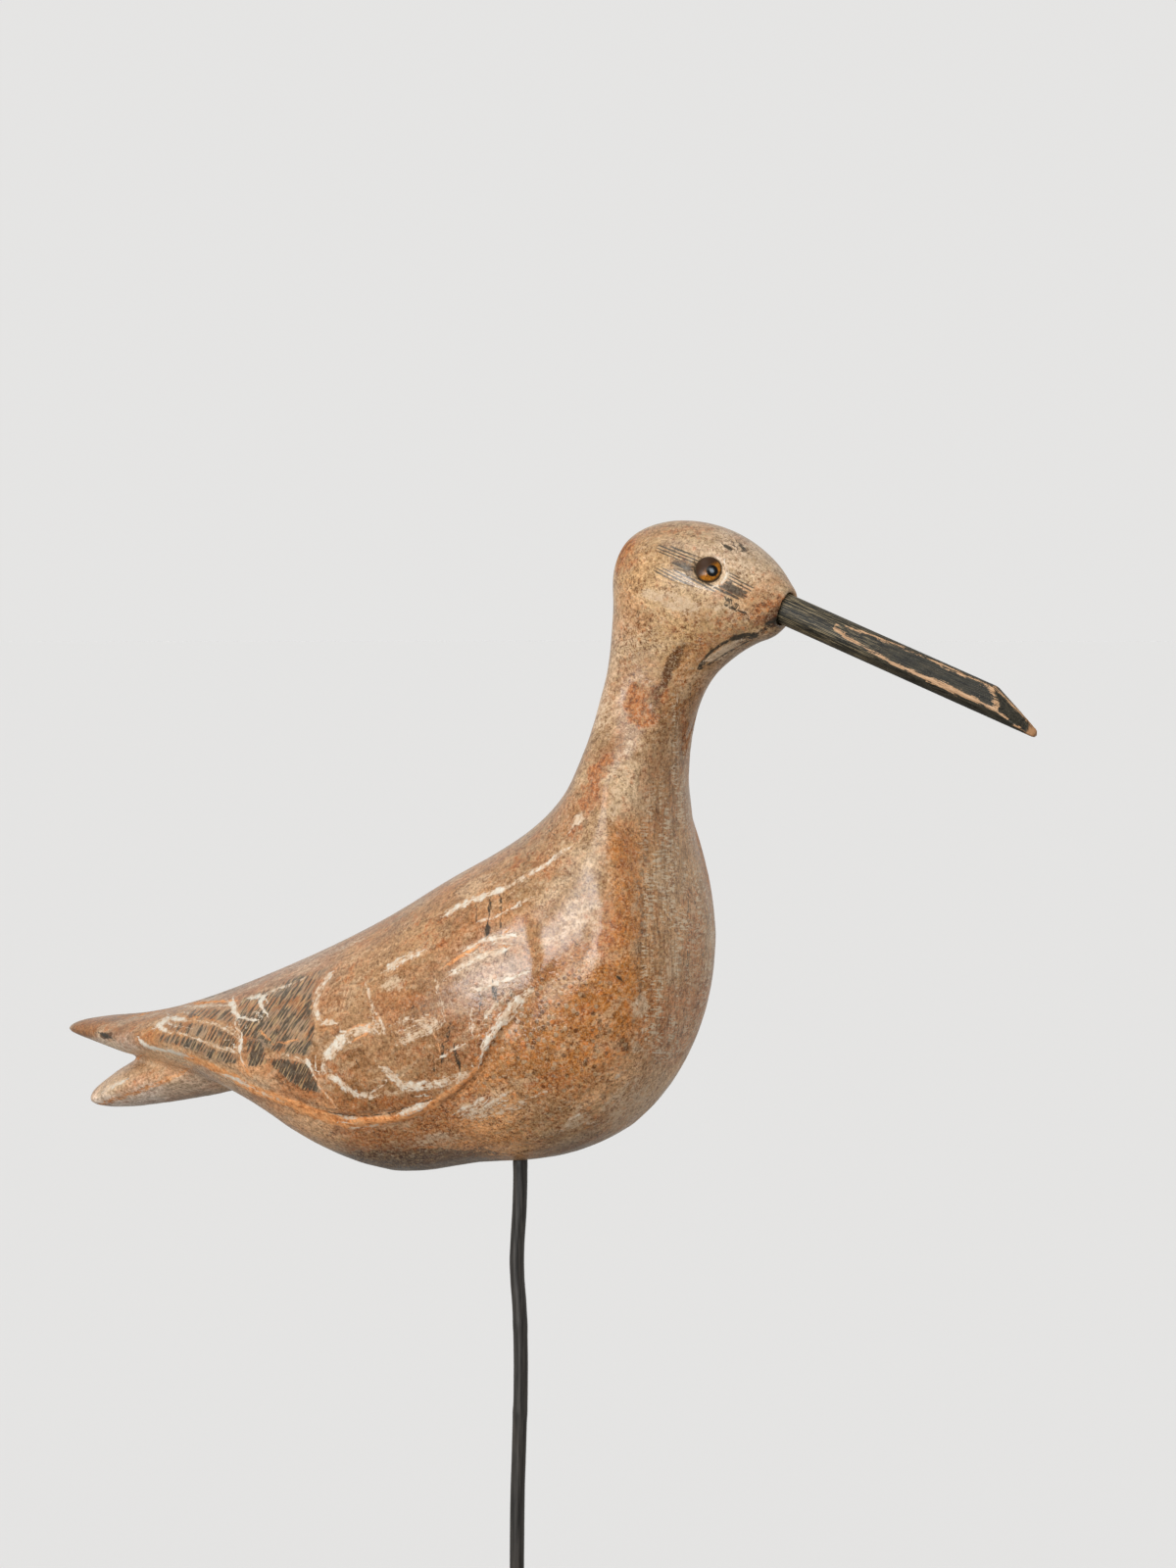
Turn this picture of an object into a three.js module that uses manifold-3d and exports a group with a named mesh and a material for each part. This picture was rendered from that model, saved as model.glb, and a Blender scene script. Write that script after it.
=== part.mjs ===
// A folk-art shorebird decoy on its stand: a bird carved from one block of wood, a whittled dowel
// for a bill, two glass eyes, and a slim dark stick for a leg, set in a round wooden base.
// Millimetres, +Z up. The origin is the middle of the base's underside. The bird faces +X.
import * as THREE from "three";
import { mergeVertices } from "three/addons/utils/BufferGeometryUtils.js";
import Module from "manifold-3d";

const wasm = await Module();
wasm.setup();

// Driving dimensions
const CARVING_LENGTH = 244; // wing tips to the bill's seat, along X
const BASE_RADIUS = 60;
const BASE_HEIGHT = 22;
const BASE_EDGE_ROUND = 3.5; // worn top edge
const LEG_DIAMETER = 4.5;
const LEG_SHOWING = 176; // between the base's top and the belly
const LEG_IN_BASE = 15;
const LEG_IN_BODY = 20;
const BILL_DIAMETER = 8.5;
const BILL_SHOWING = 79;
const BILL_IN_HEAD = 11;
const EYE_DIAMETER = 7.2;
const EYE_THICKNESS = 2.6;
const EYE_RECESS = 0.5; // the eye's rim sits this far under the wood's surface
const WING_RISE = 1.5; // the wings stand this far out of the flanks
const FIT_GAP = 0.3; // between a hole and what is glued in it

// The bird's own frame has its origin at the middle of the leg's hole in the belly.
const BIRD_Z = BASE_HEIGHT + LEG_SHOWING;

// The carving as a sawn side outline with a width at each station, from the wing tips along the
// body, up the neck and forward to the bill's seat. All values are hundredths of CARVING_LENGTH:
// back x, back z, belly x, belly z, half width, where the widest line lies between belly (-1) and
// back (1), and how much squarer the belly or breast side is than BODY_EDGE.
const CARVING = [
  [-64.5, 11.8, -64.3, 11.1, 1.1, 0, 0],
  [-63.0, 12.5, -62.6, 10.7, 2.4, 0, 0],
  [-59.0, 13.3, -58.4, 9.9, 4.2, 0, 0],
  [-53.4, 14.0, -53.2, 8.9, 6.2, 0, 0],
  [-47.4, 15.3, -47.4, 8.1, 8.4, 0, 0],
  [-40.6, 17.4, -40.6, 6.8, 10.9, 0, 0],
  [-32.2, 20.6, -32.4, 3.8, 13.3, 0, 0],
  [-23.8, 24.2, -24.0, -0.5, 14.9, 0, 0],
  [-15.4, 28.3, -14.8, -2.7, 15.8, 0, 0],
  [-7.2, 33.0, -4.6, -0.9, 16.2, 0, 0],
  [-0.3, 36.7, 5.4, 0.5, 16.0, 0, 0],
  [4.4, 39.9, 13.0, 3.9, 15.2, 0, 0.3],
  [8.3, 44.0, 18.4, 10.6, 13.6, 0, 0.7],
  [10.1, 48.0, 21.6, 18.8, 11.8, 0, 0.9],
  [11.2, 51.4, 22.0, 27.0, 9.7, 0, 0.9],
  [11.9, 54.6, 20.7, 34.4, 7.7, 0, 0.7],
  [12.6, 57.8, 20.1, 41.6, 6.2, 0, 0.5],
  [12.9, 61.4, 20.7, 48.0, 5.4, 0, 0.4],
  [13.1, 65.2, 22.5, 53.0, 5.5, 0, 0.2],
  [13.2, 69.0, 24.7, 56.3, 6.1, 0.1, 0],
  [15.0, 72.2, 26.9, 58.2, 6.7, 0.15, 0],
  [18.8, 73.9, 28.9, 59.5, 7.0, 0.15, 0],
  [23.6, 73.9, 30.6, 60.3, 6.6, 0.1, 0],
  [28.2, 72.4, 32.2, 60.8, 5.4, 0, 0],
  [32.2, 69.5, 33.2, 61.7, 3.8, 0, 0],
  [34.9, 66.1, 33.4, 61.8, 2.4, 0, 0],
];
const CARVING_SIDES = 32;
const CARVING_RINGS = 3; // rings in each span between two stations

// The tail is the lower prong. It grows out of the body under the wing tips. Same columns.
const TAIL = [
  [-60.9, 4.0, -60.7, 2.5, 1.4, -0.3, 0],
  [-60.0, 4.7, -59.8, 2.0, 2.8, -0.4, 0],
  [-56.6, 7.0, -56.0, 2.0, 4.7, -0.2, 0],
  [-52.6, 9.0, -51.8, 2.6, 5.7, -0.1, 0],
  [-47.0, 10.4, -46.0, 3.7, 6.1, 0, 0],
  [-40.0, 11.4, -39.0, 5.4, 5.4, 0, 0],
  [-34.0, 12.2, -33.4, 8.0, 4.0, 0, 0],
];
const TAIL_SIDES = 24;
const TAIL_RINGS = 2;
const TAIL_EDGE = 1.45; // under 2 brings the tail's sides to an edge
const BODY_EDGE = 2.1; // 2 is an ellipse, more is fuller

// The wings' lower and front edge seen square from the side, x and z, in hundredths of
// CARVING_LENGTH. Everything above it is wing.
const WING_EDGE = [
  [-70.0, 6.0],
  [-55.0, 8.4],
  [-46.0, 11.2],
  [-38.5, 10.6],
  [-32.2, 9.3],
  [-24.5, 7.1],
  [-16.6, 5.4],
  [-9.6, 5.4],
  [-4.7, 7.2],
  [-0.2, 9.6],
  [3.2, 13.0],
  [6.6, 17.8],
  [9.4, 21.4],
  [12.0, 27.0],
  [13.0, 34.0],
];
const WING_EDGE_STEPS = 40;
// Stations between which the wings rise from the tips, and sink again towards the shoulders
const WING_RISES = [1, 4];
const WING_SINKS = [9.6, 12.4];

// The bill leaves the head at this slope, and is whittled from above to a chisel tip.
const BILL_DROP = THREE.MathUtils.degToRad(22);
const BILL_SIDES = 24;
const BILL_STEPS = 14;
const BILL_FLATS = [0.2, 0.45]; // shares of the showing length where the flats start and are full
const BILL_FLAT_DEPTH = 0.22; // share of the radius that the flats take off at most
const BILL_FLAT_ANGLE = THREE.MathUtils.degToRad(28); // the flats face out and this much upwards
const BILL_TIP_LENGTH = 15; // the slanted cut at the tip
const BILL_TIP_THICKNESS = 2.2;

// The eye's place on the head: along the stations, and round the section from the widest line.
const EYE_STATION = 22.3;
const EYE_ANGLE = THREE.MathUtils.degToRad(9);

// The leg's bends: how far below the belly as a share of LEG_SHOWING, and the offset along X from
// the leg's foot as a share of LEG_DIAMETER.
const LEG_BENDS = [
  [1, 0],
  [0.66, 0],
  [0.59, 0.03],
  [0.54, 0.07],
  [0.49, 0.14],
  [0.43, 0.22],
  [0.4, 0.28],
  [0.335, 0.31],
  [0.28, 0.28],
  [0.255, 0.24],
  [0.23, 0.17],
  [0.207, 0.07],
  [0.17, 0],
  [0.135, 0.07],
  [0.0875, 0.21],
  [0.04, 0.28],
  [0, 0.28],
];
const LEG_SIDES = 10;
const LEG_STEPS = 42;

const share = (value) => (value * CARVING_LENGTH) / 100;
const power = (value, exponent) => Math.sign(value) * Math.abs(value) ** exponent;

// A point of a section: the back and belly points carry it, and angle runs round from the widest
// line (0) over the back (a quarter turn). edge is the superellipse exponent.
function sectionPoint(row, angle, edge) {
  const [backX, backZ, bellyX, bellyZ, halfWidth, widest, squarer] = row;
  const exponent = 2 / (Math.sin(angle) < 0 ? edge + squarer : edge);
  const out = power(Math.cos(angle), exponent);
  const up = power(Math.sin(angle), exponent);
  const level = widest + (up > 0 ? (1 - widest) * up : (1 + widest) * up);
  return new THREE.Vector3(
    THREE.MathUtils.lerp(bellyX, backX, (level + 1) / 2),
    -halfWidth * out,
    THREE.MathUtils.lerp(bellyZ, backZ, (level + 1) / 2),
  );
}

// The stations' values at any place along them, in millimetres, as smooth curves.
function stationCurves(table) {
  const curve = (...columns) =>
    new THREE.CatmullRomCurve3(
      table.map((row) => new THREE.Vector3(...columns.map((column) => row[column]))),
    );
  const back = curve(0, 1);
  const belly = curve(2, 3);
  const across = curve(4, 5, 6);
  return (station) => {
    const t = station / (table.length - 1);
    const [upper, lower, side] = [back.getPoint(t), belly.getPoint(t), across.getPoint(t)];
    const lengths = [upper.x, upper.y, lower.x, lower.y, side.x].map(share);
    return [...lengths, side.y, Math.max(side.z, 0)];
  };
}

// A closed skin over rings of equal numbers of points, with a middle point at each end.
function skin(rings) {
  const sides = rings[0].length;
  const middle = (ring) =>
    ring.reduce((sum, p) => sum.add(p), new THREE.Vector3()).divideScalar(sides);
  const points = [...rings.flat(), middle(rings[0]), middle(rings.at(-1))];
  const faces = [];
  for (let i = 0; i + 1 < rings.length; i++)
    for (let j = 0; j < sides; j++) {
      const [a, b] = [i * sides + j, i * sides + ((j + 1) % sides)];
      faces.push(a, b, b + sides, a, b + sides, a + sides);
    }
  const [first, last] = [rings.length * sides, rings.length * sides + 1];
  const lastRing = (rings.length - 1) * sides;
  for (let j = 0; j < sides; j++) {
    const next = (j + 1) % sides;
    faces.push(next, j, first);
    faces.push(lastRing + j, lastRing + next, last);
  }
  const geometry = new THREE.BufferGeometry().setFromPoints(points);
  geometry.setIndex(faces);
  return geometry;
}

// A closed mesh as a solid for joining and cutting, turned outwards if it was made inside out.
function solid(geometry) {
  const bare = geometry.clone();
  bare.deleteAttribute("normal");
  bare.deleteAttribute("uv");
  const merged = mergeVertices(bare, 1e-4);
  const triVerts = new Uint32Array(merged.index.array);
  const vertProperties = merged.attributes.position.array;
  const made = new wasm.Manifold(new wasm.Mesh({ numProp: 3, vertProperties, triVerts }));
  if (made.volume() > 0) return made;
  triVerts.reverse();
  return new wasm.Manifold(new wasm.Mesh({ numProp: 3, vertProperties, triVerts }));
}

function geometryOf(made) {
  const mesh = made.getMesh();
  const geometry = new THREE.BufferGeometry();
  geometry.setAttribute("position", new THREE.BufferAttribute(mesh.vertProperties, 3));
  geometry.setIndex(new THREE.BufferAttribute(mesh.triVerts, 1));
  return geometry;
}

// The skin over a table of stations. rise widens it, station by station.
function carve(table, sides, ringsPerSpan, edge, rise = () => 0) {
  const at = stationCurves(table);
  const steps = (table.length - 1) * ringsPerSpan;
  const rings = [];
  for (let i = 0; i <= steps; i++) {
    const station = i / ringsPerSpan;
    const row = at(station);
    row[4] += rise(station);
    const ring = [];
    for (let j = 0; j < sides; j++) ring.push(sectionPoint(row, (2 * Math.PI * j) / sides, edge));
    rings.push(ring);
  }
  return solid(skin(rings));
}

// A round hole from a point along a direction, a little longer than depth at its open end.
function drill(from, direction, radius, depth) {
  const over = radius * 2;
  const hole = new THREE.CylinderGeometry(radius, radius, depth + over, 32);
  hole.translate(0, (depth - over) / 2, 0);
  hole.applyQuaternion(
    new THREE.Quaternion().setFromUnitVectors(new THREE.Vector3(0, 1, 0), direction),
  );
  hole.translate(from.x, from.y, from.z);
  return solid(hole);
}

// Where the bill enters the head, and the way it points.
function billSeat() {
  const end = stationCurves(CARVING)(CARVING.length - 1);
  const at = new THREE.Vector3((end[0] + end[2]) / 2, 0, (end[1] + end[3]) / 2);
  const direction = new THREE.Vector3(Math.cos(BILL_DROP), 0, -Math.sin(BILL_DROP));
  return { at, direction };
}

// Where an eye sits, and the way it looks. side is -1 on the bird's right and 1 on its left.
function eyeSeat(side) {
  const at = stationCurves(CARVING);
  const point = (station, angle) => sectionPoint(at(station), angle, BODY_EDGE);
  const small = 0.02;
  const along = point(EYE_STATION + small, EYE_ANGLE).sub(point(EYE_STATION - small, EYE_ANGLE));
  const round = point(EYE_STATION, EYE_ANGLE + small).sub(point(EYE_STATION, EYE_ANGLE - small));
  const looks = along.cross(round).normalize();
  if (looks.y > 0) looks.negate();
  const place = point(EYE_STATION, EYE_ANGLE).addScaledVector(looks, -EYE_RECESS);
  if (side > 0) {
    looks.y *= -1;
    place.y *= -1;
  }
  return { place, looks };
}

// The wings are one slab over the back, wider than the body by their rise and cut along their edge.
function wings() {
  const { smoothstep } = THREE.MathUtils;
  const rise = (station) =>
    WING_RISE * smoothstep(station, ...WING_RISES) * (1 - smoothstep(station, ...WING_SINKS));
  const wide = carve(CARVING, CARVING_SIDES, CARVING_RINGS, BODY_EDGE, rise);
  const edge = new THREE.CatmullRomCurve3(
    WING_EDGE.map(([x, z]) => new THREE.Vector3(share(x), share(z), 0)),
  );
  const reach = CARVING_LENGTH / 2;
  const outline = new THREE.Shape([
    ...edge.getPoints(WING_EDGE_STEPS).map((p) => new THREE.Vector2(p.x, p.y)),
    new THREE.Vector2(share(WING_EDGE.at(-1)[0]), reach),
    new THREE.Vector2(share(WING_EDGE[0][0]), reach),
  ]);
  const cutter = new THREE.ExtrudeGeometry(outline, { depth: reach, bevelEnabled: false });
  cutter.translate(0, 0, -reach / 2);
  cutter.rotateX(Math.PI / 2);
  return wide.intersect(solid(cutter));
}

function birdBody() {
  const { at, direction } = billSeat();
  const down = new THREE.Vector3(0, 0, 1);
  let made = carve(CARVING, CARVING_SIDES, CARVING_RINGS, BODY_EDGE)
    .add(wings())
    .add(carve(TAIL, TAIL_SIDES, TAIL_RINGS, TAIL_EDGE))
    .subtract(drill(at, direction.clone().negate(), BILL_DIAMETER / 2 + FIT_GAP, BILL_IN_HEAD + FIT_GAP))
    .subtract(
      drill(new THREE.Vector3(), down, LEG_DIAMETER / 2 + FIT_GAP, LEG_IN_BODY + FIT_GAP),
    );
  for (const side of [-1, 1]) {
    const { place, looks } = eyeSeat(side);
    const inwards = looks.clone().negate();
    made = made.subtract(
      drill(place, inwards, EYE_DIAMETER / 2 + FIT_GAP, EYE_THICKNESS / 2 + FIT_GAP),
    );
  }
  return geometryOf(made);
}

// The bill along its own +X, from its end in the head to its tip, before it is tilted.
function bill() {
  const radius = BILL_DIAMETER / 2;
  const whole = BILL_IN_HEAD + BILL_SHOWING;
  const flats = [BILL_FLAT_ANGLE, Math.PI - BILL_FLAT_ANGLE];
  const [start, full] = BILL_FLATS.map((along) => BILL_IN_HEAD + BILL_SHOWING * along);
  const rings = [];
  for (let i = 0; i <= BILL_STEPS; i++) {
    const along = (whole * i) / BILL_STEPS;
    const flat = radius * (1 - BILL_FLAT_DEPTH * THREE.MathUtils.smoothstep(along, start, full));
    const ring = [];
    for (let j = 0; j < BILL_SIDES; j++) {
      const angle = (2 * Math.PI * j) / BILL_SIDES;
      const reach = flats.map((f) => flat / Math.max(Math.cos(angle - f), 0.01));
      const r = Math.min(radius, ...reach);
      ring.push(new THREE.Vector3(along, -r * Math.cos(angle), r * Math.sin(angle)));
    }
    rings.push(ring);
  }
  const drop = (2 * radius - BILL_TIP_THICKNESS) / BILL_TIP_LENGTH;
  const over = BILL_TIP_LENGTH * 1.5;
  const wedge = new THREE.Shape([
    new THREE.Vector2(whole - BILL_TIP_LENGTH, radius),
    new THREE.Vector2(whole - BILL_TIP_LENGTH + over, radius - over * drop),
    new THREE.Vector2(whole - BILL_TIP_LENGTH + over, 3 * radius),
    new THREE.Vector2(whole - BILL_TIP_LENGTH, 3 * radius),
  ]);
  const cutter = new THREE.ExtrudeGeometry(wedge, { depth: 4 * radius, bevelEnabled: false });
  cutter.translate(0, 0, -2 * radius);
  cutter.rotateX(Math.PI / 2);
  return geometryOf(solid(skin(rings)).subtract(solid(cutter)));
}

// A glass eye: a flat-backed lens whose front is a dome. Its rim lies at 0 and it looks along +Y.
function eye() {
  const radius = EYE_DIAMETER / 2;
  const half = EYE_THICKNESS / 2;
  const arcSteps = 5;
  const dome = (radius ** 2 + half ** 2) / (2 * half);
  const profile = [new THREE.Vector2(0, -half), new THREE.Vector2(radius, -half)];
  const reach = Math.asin(radius / dome);
  for (let i = 0; i <= arcSteps; i++) {
    const angle = reach * (1 - i / arcSteps);
    profile.push(
      new THREE.Vector2(dome * Math.sin(angle), half - dome + dome * Math.cos(angle)),
    );
  }
  profile.at(-1).x = 0;
  return geometryOf(solid(new THREE.LatheGeometry(profile, 20)));
}

// The leg stands on its foot in the base, from 0 upwards along +Z.
function leg() {
  const points = LEG_BENDS.map(
    ([below, x]) =>
      new THREE.Vector3(x * LEG_DIAMETER, 0, LEG_IN_BASE + LEG_SHOWING * (1 - below)),
  );
  const foot = points[0].clone().setZ(0);
  const top = points.at(-1).clone().setZ(LEG_IN_BASE + LEG_SHOWING + LEG_IN_BODY);
  const path = new THREE.CatmullRomCurve3([foot, ...points, top]);
  const section = new THREE.Shape();
  section.absarc(0, 0, LEG_DIAMETER / 2, 0, 2 * Math.PI);
  const options = { extrudePath: path, steps: LEG_STEPS, curveSegments: LEG_SIDES / 2 };
  return geometryOf(solid(new THREE.ExtrudeGeometry(section, options)));
}

// A round block with a worn top edge and the leg's blind hole.
function base() {
  const hole = LEG_DIAMETER / 2 + FIT_GAP;
  const floor = BASE_HEIGHT - LEG_IN_BASE - FIT_GAP;
  const edgeSteps = 4;
  const profile = [
    new THREE.Vector2(0, floor),
    new THREE.Vector2(0, 0),
    new THREE.Vector2(BASE_RADIUS, 0),
  ];
  for (let i = 0; i <= edgeSteps; i++) {
    const angle = ((Math.PI / 2) * i) / edgeSteps;
    profile.push(
      new THREE.Vector2(
        BASE_RADIUS - BASE_EDGE_ROUND * (1 - Math.cos(angle)),
        BASE_HEIGHT - BASE_EDGE_ROUND * (1 - Math.sin(angle)),
      ),
    );
  }
  profile.push(new THREE.Vector2(hole, BASE_HEIGHT), new THREE.Vector2(hole, floor));
  profile.push(new THREE.Vector2(0, floor));
  const geometry = new THREE.LatheGeometry(profile, 48);
  geometry.rotateX(Math.PI / 2);
  return geometryOf(solid(geometry));
}

function finish(color, roughness, metalness = 0) {
  return new THREE.MeshStandardMaterial({ color, roughness, metalness });
}

function piece(name, geometry, material) {
  const mesh = new THREE.Mesh(geometry, material);
  mesh.name = name;
  return mesh;
}

const paintedWood = finish(0xa97a52, 0.5);
const blackedWood = finish(0x2f2c27, 0.6);
const amberGlass = finish(0x7a4310, 0.08);

const decoy = new THREE.Group();
decoy.add(piece("base_block", base(), blackedWood));

const legMesh = piece("leg_stick", leg(), blackedWood);
legMesh.position.z = BASE_HEIGHT - LEG_IN_BASE;
decoy.add(legMesh);

const bird = new THREE.Group();
bird.position.set(LEG_BENDS.at(-1)[1] * LEG_DIAMETER, 0, BIRD_Z);
bird.add(piece("bird_body", birdBody(), paintedWood));

const seat = billSeat();
const billMesh = piece("bill", bill(), blackedWood);
billMesh.position.copy(seat.at).addScaledVector(seat.direction, -BILL_IN_HEAD);
billMesh.rotation.y = BILL_DROP;
bird.add(billMesh);

for (const [side, name] of [
  [-1, "right_eye"],
  [1, "left_eye"],
]) {
  const { place, looks } = eyeSeat(side);
  const eyeMesh = piece(name, eye(), amberGlass);
  eyeMesh.position.copy(place);
  eyeMesh.quaternion.setFromUnitVectors(new THREE.Vector3(0, 1, 0), looks);
  bird.add(eyeMesh);
}
decoy.add(bird);

export default decoy;
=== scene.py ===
"""Shorebird decoy on a stick and a round base: the looks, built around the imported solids."""

import math

import bpy
import numpy as np
from mathutils import Matrix, Quaternion, Vector, noise


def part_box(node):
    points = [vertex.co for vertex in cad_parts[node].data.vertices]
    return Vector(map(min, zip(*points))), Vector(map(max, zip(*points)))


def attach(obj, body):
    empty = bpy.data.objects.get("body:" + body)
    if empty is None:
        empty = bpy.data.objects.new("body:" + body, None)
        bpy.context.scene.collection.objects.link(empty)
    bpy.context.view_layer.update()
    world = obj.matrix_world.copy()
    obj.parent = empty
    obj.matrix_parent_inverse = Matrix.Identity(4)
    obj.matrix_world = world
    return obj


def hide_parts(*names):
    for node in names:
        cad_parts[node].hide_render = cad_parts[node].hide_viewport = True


bl_info = {
    "name": "Shorebird decoy",
    "version": (1, 0, 0),
    "blender": (4, 5, 0),
    "location": "3D View > Sidebar > Decoy",
    "description": "Carved and painted shorebird decoy with a dowel bill, glass eyes and a stand",
    "category": "Object",
}

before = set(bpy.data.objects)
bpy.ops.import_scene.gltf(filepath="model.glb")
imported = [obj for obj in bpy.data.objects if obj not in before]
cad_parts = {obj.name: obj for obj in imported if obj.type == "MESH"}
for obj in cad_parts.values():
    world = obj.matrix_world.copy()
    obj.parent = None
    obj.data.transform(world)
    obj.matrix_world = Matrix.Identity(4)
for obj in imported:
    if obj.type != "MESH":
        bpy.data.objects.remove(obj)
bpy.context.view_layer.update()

# The bird's own frame has its origin where the stick enters the belly.
LEG_HOLE = np.array([0.00126, 0.0, 0.198])

# The photograph's camera, worked out from the bird's outline
FRAME_SIZE = (1200, 1600)
LEG_HOLE_PIXEL = (531, 1180)
CAMERA_YAW = math.radians(28)
CAMERA_ELEVATION = math.radians(3)
CAMERA_DISTANCE = 1.0
METRES_PER_PIXEL = 0.00028
CAMERA_BACK = np.array([
    math.sin(CAMERA_YAW) * math.cos(CAMERA_ELEVATION),
    -math.cos(CAMERA_YAW) * math.cos(CAMERA_ELEVATION),
    math.sin(CAMERA_ELEVATION),
])
CAMERA_RIGHT = np.array([math.cos(CAMERA_YAW), math.sin(CAMERA_YAW), 0.0])
CAMERA_UP = np.cross(CAMERA_BACK, CAMERA_RIGHT)
CAMERA_TARGET = (
    LEG_HOLE
    + (FRAME_SIZE[0] / 2 - LEG_HOLE_PIXEL[0]) * METRES_PER_PIXEL * CAMERA_RIGHT
    + (LEG_HOLE_PIXEL[1] - FRAME_SIZE[1] / 2) * METRES_PER_PIXEL * CAMERA_UP
)
CAMERA_PLACE = CAMERA_TARGET + CAMERA_DISTANCE * CAMERA_BACK
FOCAL_PIXELS = CAMERA_DISTANCE / METRES_PER_PIXEL

# Paint colours, as seen on a colour chart (0 to 255)
PAINTS = {
    "straw": (208, 172, 124),
    "head ochre": (190, 142, 96),
    "cream": (216, 192, 160),
    "white lead": (236, 229, 213),
    "peach": (224, 196, 166),
    "forehead": (202, 182, 160),
    "crown tan": (178, 151, 118),
    "nape": (190, 167, 144),
    "neck tan": (166, 134, 102),
    "neck front": (170, 124, 80),
    "rust": (184, 104, 40),
    "deep rust": (116, 60, 26),
    "band orange": (194, 124, 54),
    "breast tan": (176, 146, 114),
    "breast brown": (164, 109, 57),
    "breast grey": (190, 150, 108),
    "breast side": (196, 134, 88),
    "low breast": (156, 123, 91),
    "wing tan": (172, 137, 101),
    "wing brown": (146, 101, 62),
    "shoulder brown": (168, 124, 82),
    "wing rust": (156, 102, 64),
    # wing slate and sheen: slate paint made pale where the wing's highlight falls, partly painted highlight
    "wing slate and sheen": (176, 150, 130),
    "back grey": (180, 136, 96),
    "rump grey": (174, 136, 110),
    "flank rust": (170, 108, 60),
    "belly brown": (238, 175, 117),
    # belly shade: painted shade for the dark band along the belly's bottom
    "belly shade": (58, 44, 30),
    "belly tan": (220, 175, 133),
    "tail ochre": (176, 126, 76),
    "prong brown": (158, 108, 66),
    "tail pale": (212, 178, 142),
    # underside shade and sheen: pale lilac grey for the undersides of tail and chin, painted shade and
    # painted reflection
    "underside shade and sheen": (208, 182, 158),
    "slate": (96, 92, 80),
    "comb brown": (158, 132, 108),
    "bone black": (48, 46, 39),
    "umber": (78, 46, 24),
    "orange edge": (214, 128, 60),
    # wing edge: the edge's orange paint, made lighter for light on the wing's down-facing lip, partly
    # painted light
    "wing edge": (250, 170, 104),
    # prong sheens: near-white paint on the tail prongs' lower faces, painted reflection
    "prong underside sheen": (252, 238, 226),
    "prong side sheen": (226, 216, 206),
}

# Ground colours: for each paint, its places on the near side in the photograph's pixels, and reach
GROUND = {
    "crown tan": [(690, 542, 34), (790, 606, 26)],
    "forehead": [(760, 566, 34)],
    "head ochre": [(636, 572, 20), (641, 846, 12)],
    "straw": [(700, 640, 20), (650, 600, 30), (680, 632, 38), (700, 650, 16), (770, 632, 24)],
    "nape": [(632, 640, 34)],
    # the last cream place, with belly brown at the same spot, is partly painted reflection on the low
    # breast's lower right
    "cream": [(740, 605, 26), (690, 610, 22), (632, 800, 22), (640, 1120, 32)],
    "neck front": [(716, 696, 20), (692, 730, 24), (684, 800, 26)],
    # painted shade and painted reflection under the chin and under the tail
    "underside shade and sheen": [(750, 673, 12), (778, 655, 10), (728, 694, 10), (184, 1112, 14), (208, 1106, 10)],
    # the first peach place is partly painted highlight along the back of the neck
    "peach": [(614, 706, 26), (700, 1062, 15)],
    "neck tan": [(650, 690, 30), (640, 760, 34), (600, 815, 20), (570, 850, 26)],
    "breast tan": [(580, 900, 40)],
    "shoulder brown": [(540, 930, 26)],
    "band orange": [(641, 868, 13), (638, 905, 14), (633, 945, 15), (626, 985, 16), (612, 1030, 22),
        (596, 1086, 38)],
    "breast grey": [(682, 880, 24), (682, 960, 24)],
    "breast side": [(672, 1050, 22), (718, 960, 20), (704, 1060, 22)],
    "breast brown": [(600, 1010, 40), (540, 1060, 36)],
    "low breast": [(560, 1140, 34)],
    # belly brown is lightened for the down-facing belly and low breast: partly painted light
    "belly brown": [(640, 1122, 22), (500, 1160, 34)],
    "flank rust": [(455, 1140, 30), (390, 1158, 24)],
    # painted shade along the belly's bottom
    "belly shade": [(400, 1186, 16), (350, 1182, 12)],
    "belly tan": [(325, 1160, 22), (280, 1130, 22), (246, 1088, 16)],
    "tail pale": [(245, 1110, 14), (262, 1120, 12), (130, 1098, 20), (170, 1085, 16)],
    "wing tan": [(440, 956, 30), (400, 980, 34), (420, 1080, 34), (370, 1030, 34), (290, 1040, 30),
        (230, 1050, 26)],
    "wing brown": [(466, 932, 20), (430, 1030, 34), (432, 1030, 20), (350, 1080, 30),
        (380, 1122, 20)],
    # partly painted highlight: the wing's pale slate ground where its highlight falls
    "wing slate and sheen": [(490, 990, 30)],
    "wing rust": [(470, 1060, 22), (300, 1105, 20)],
    "back grey": [(380, 950, 30), (470, 905, 30)],
    "rump grey": [(300, 990, 36), (240, 1012, 30)],
    "tail ochre": [(190, 1028, 20), (152, 1046, 16), (150, 1095, 11)],
    "prong brown": [(120, 1044, 20), (86, 1048, 10)],
    # painted reflection on the prongs' lower faces
    "prong side sheen": [(104, 1065, 8), (126, 1071, 12)],
    "prong underside sheen": [(150, 1126, 17), (118, 1130, 11)],
}
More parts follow.
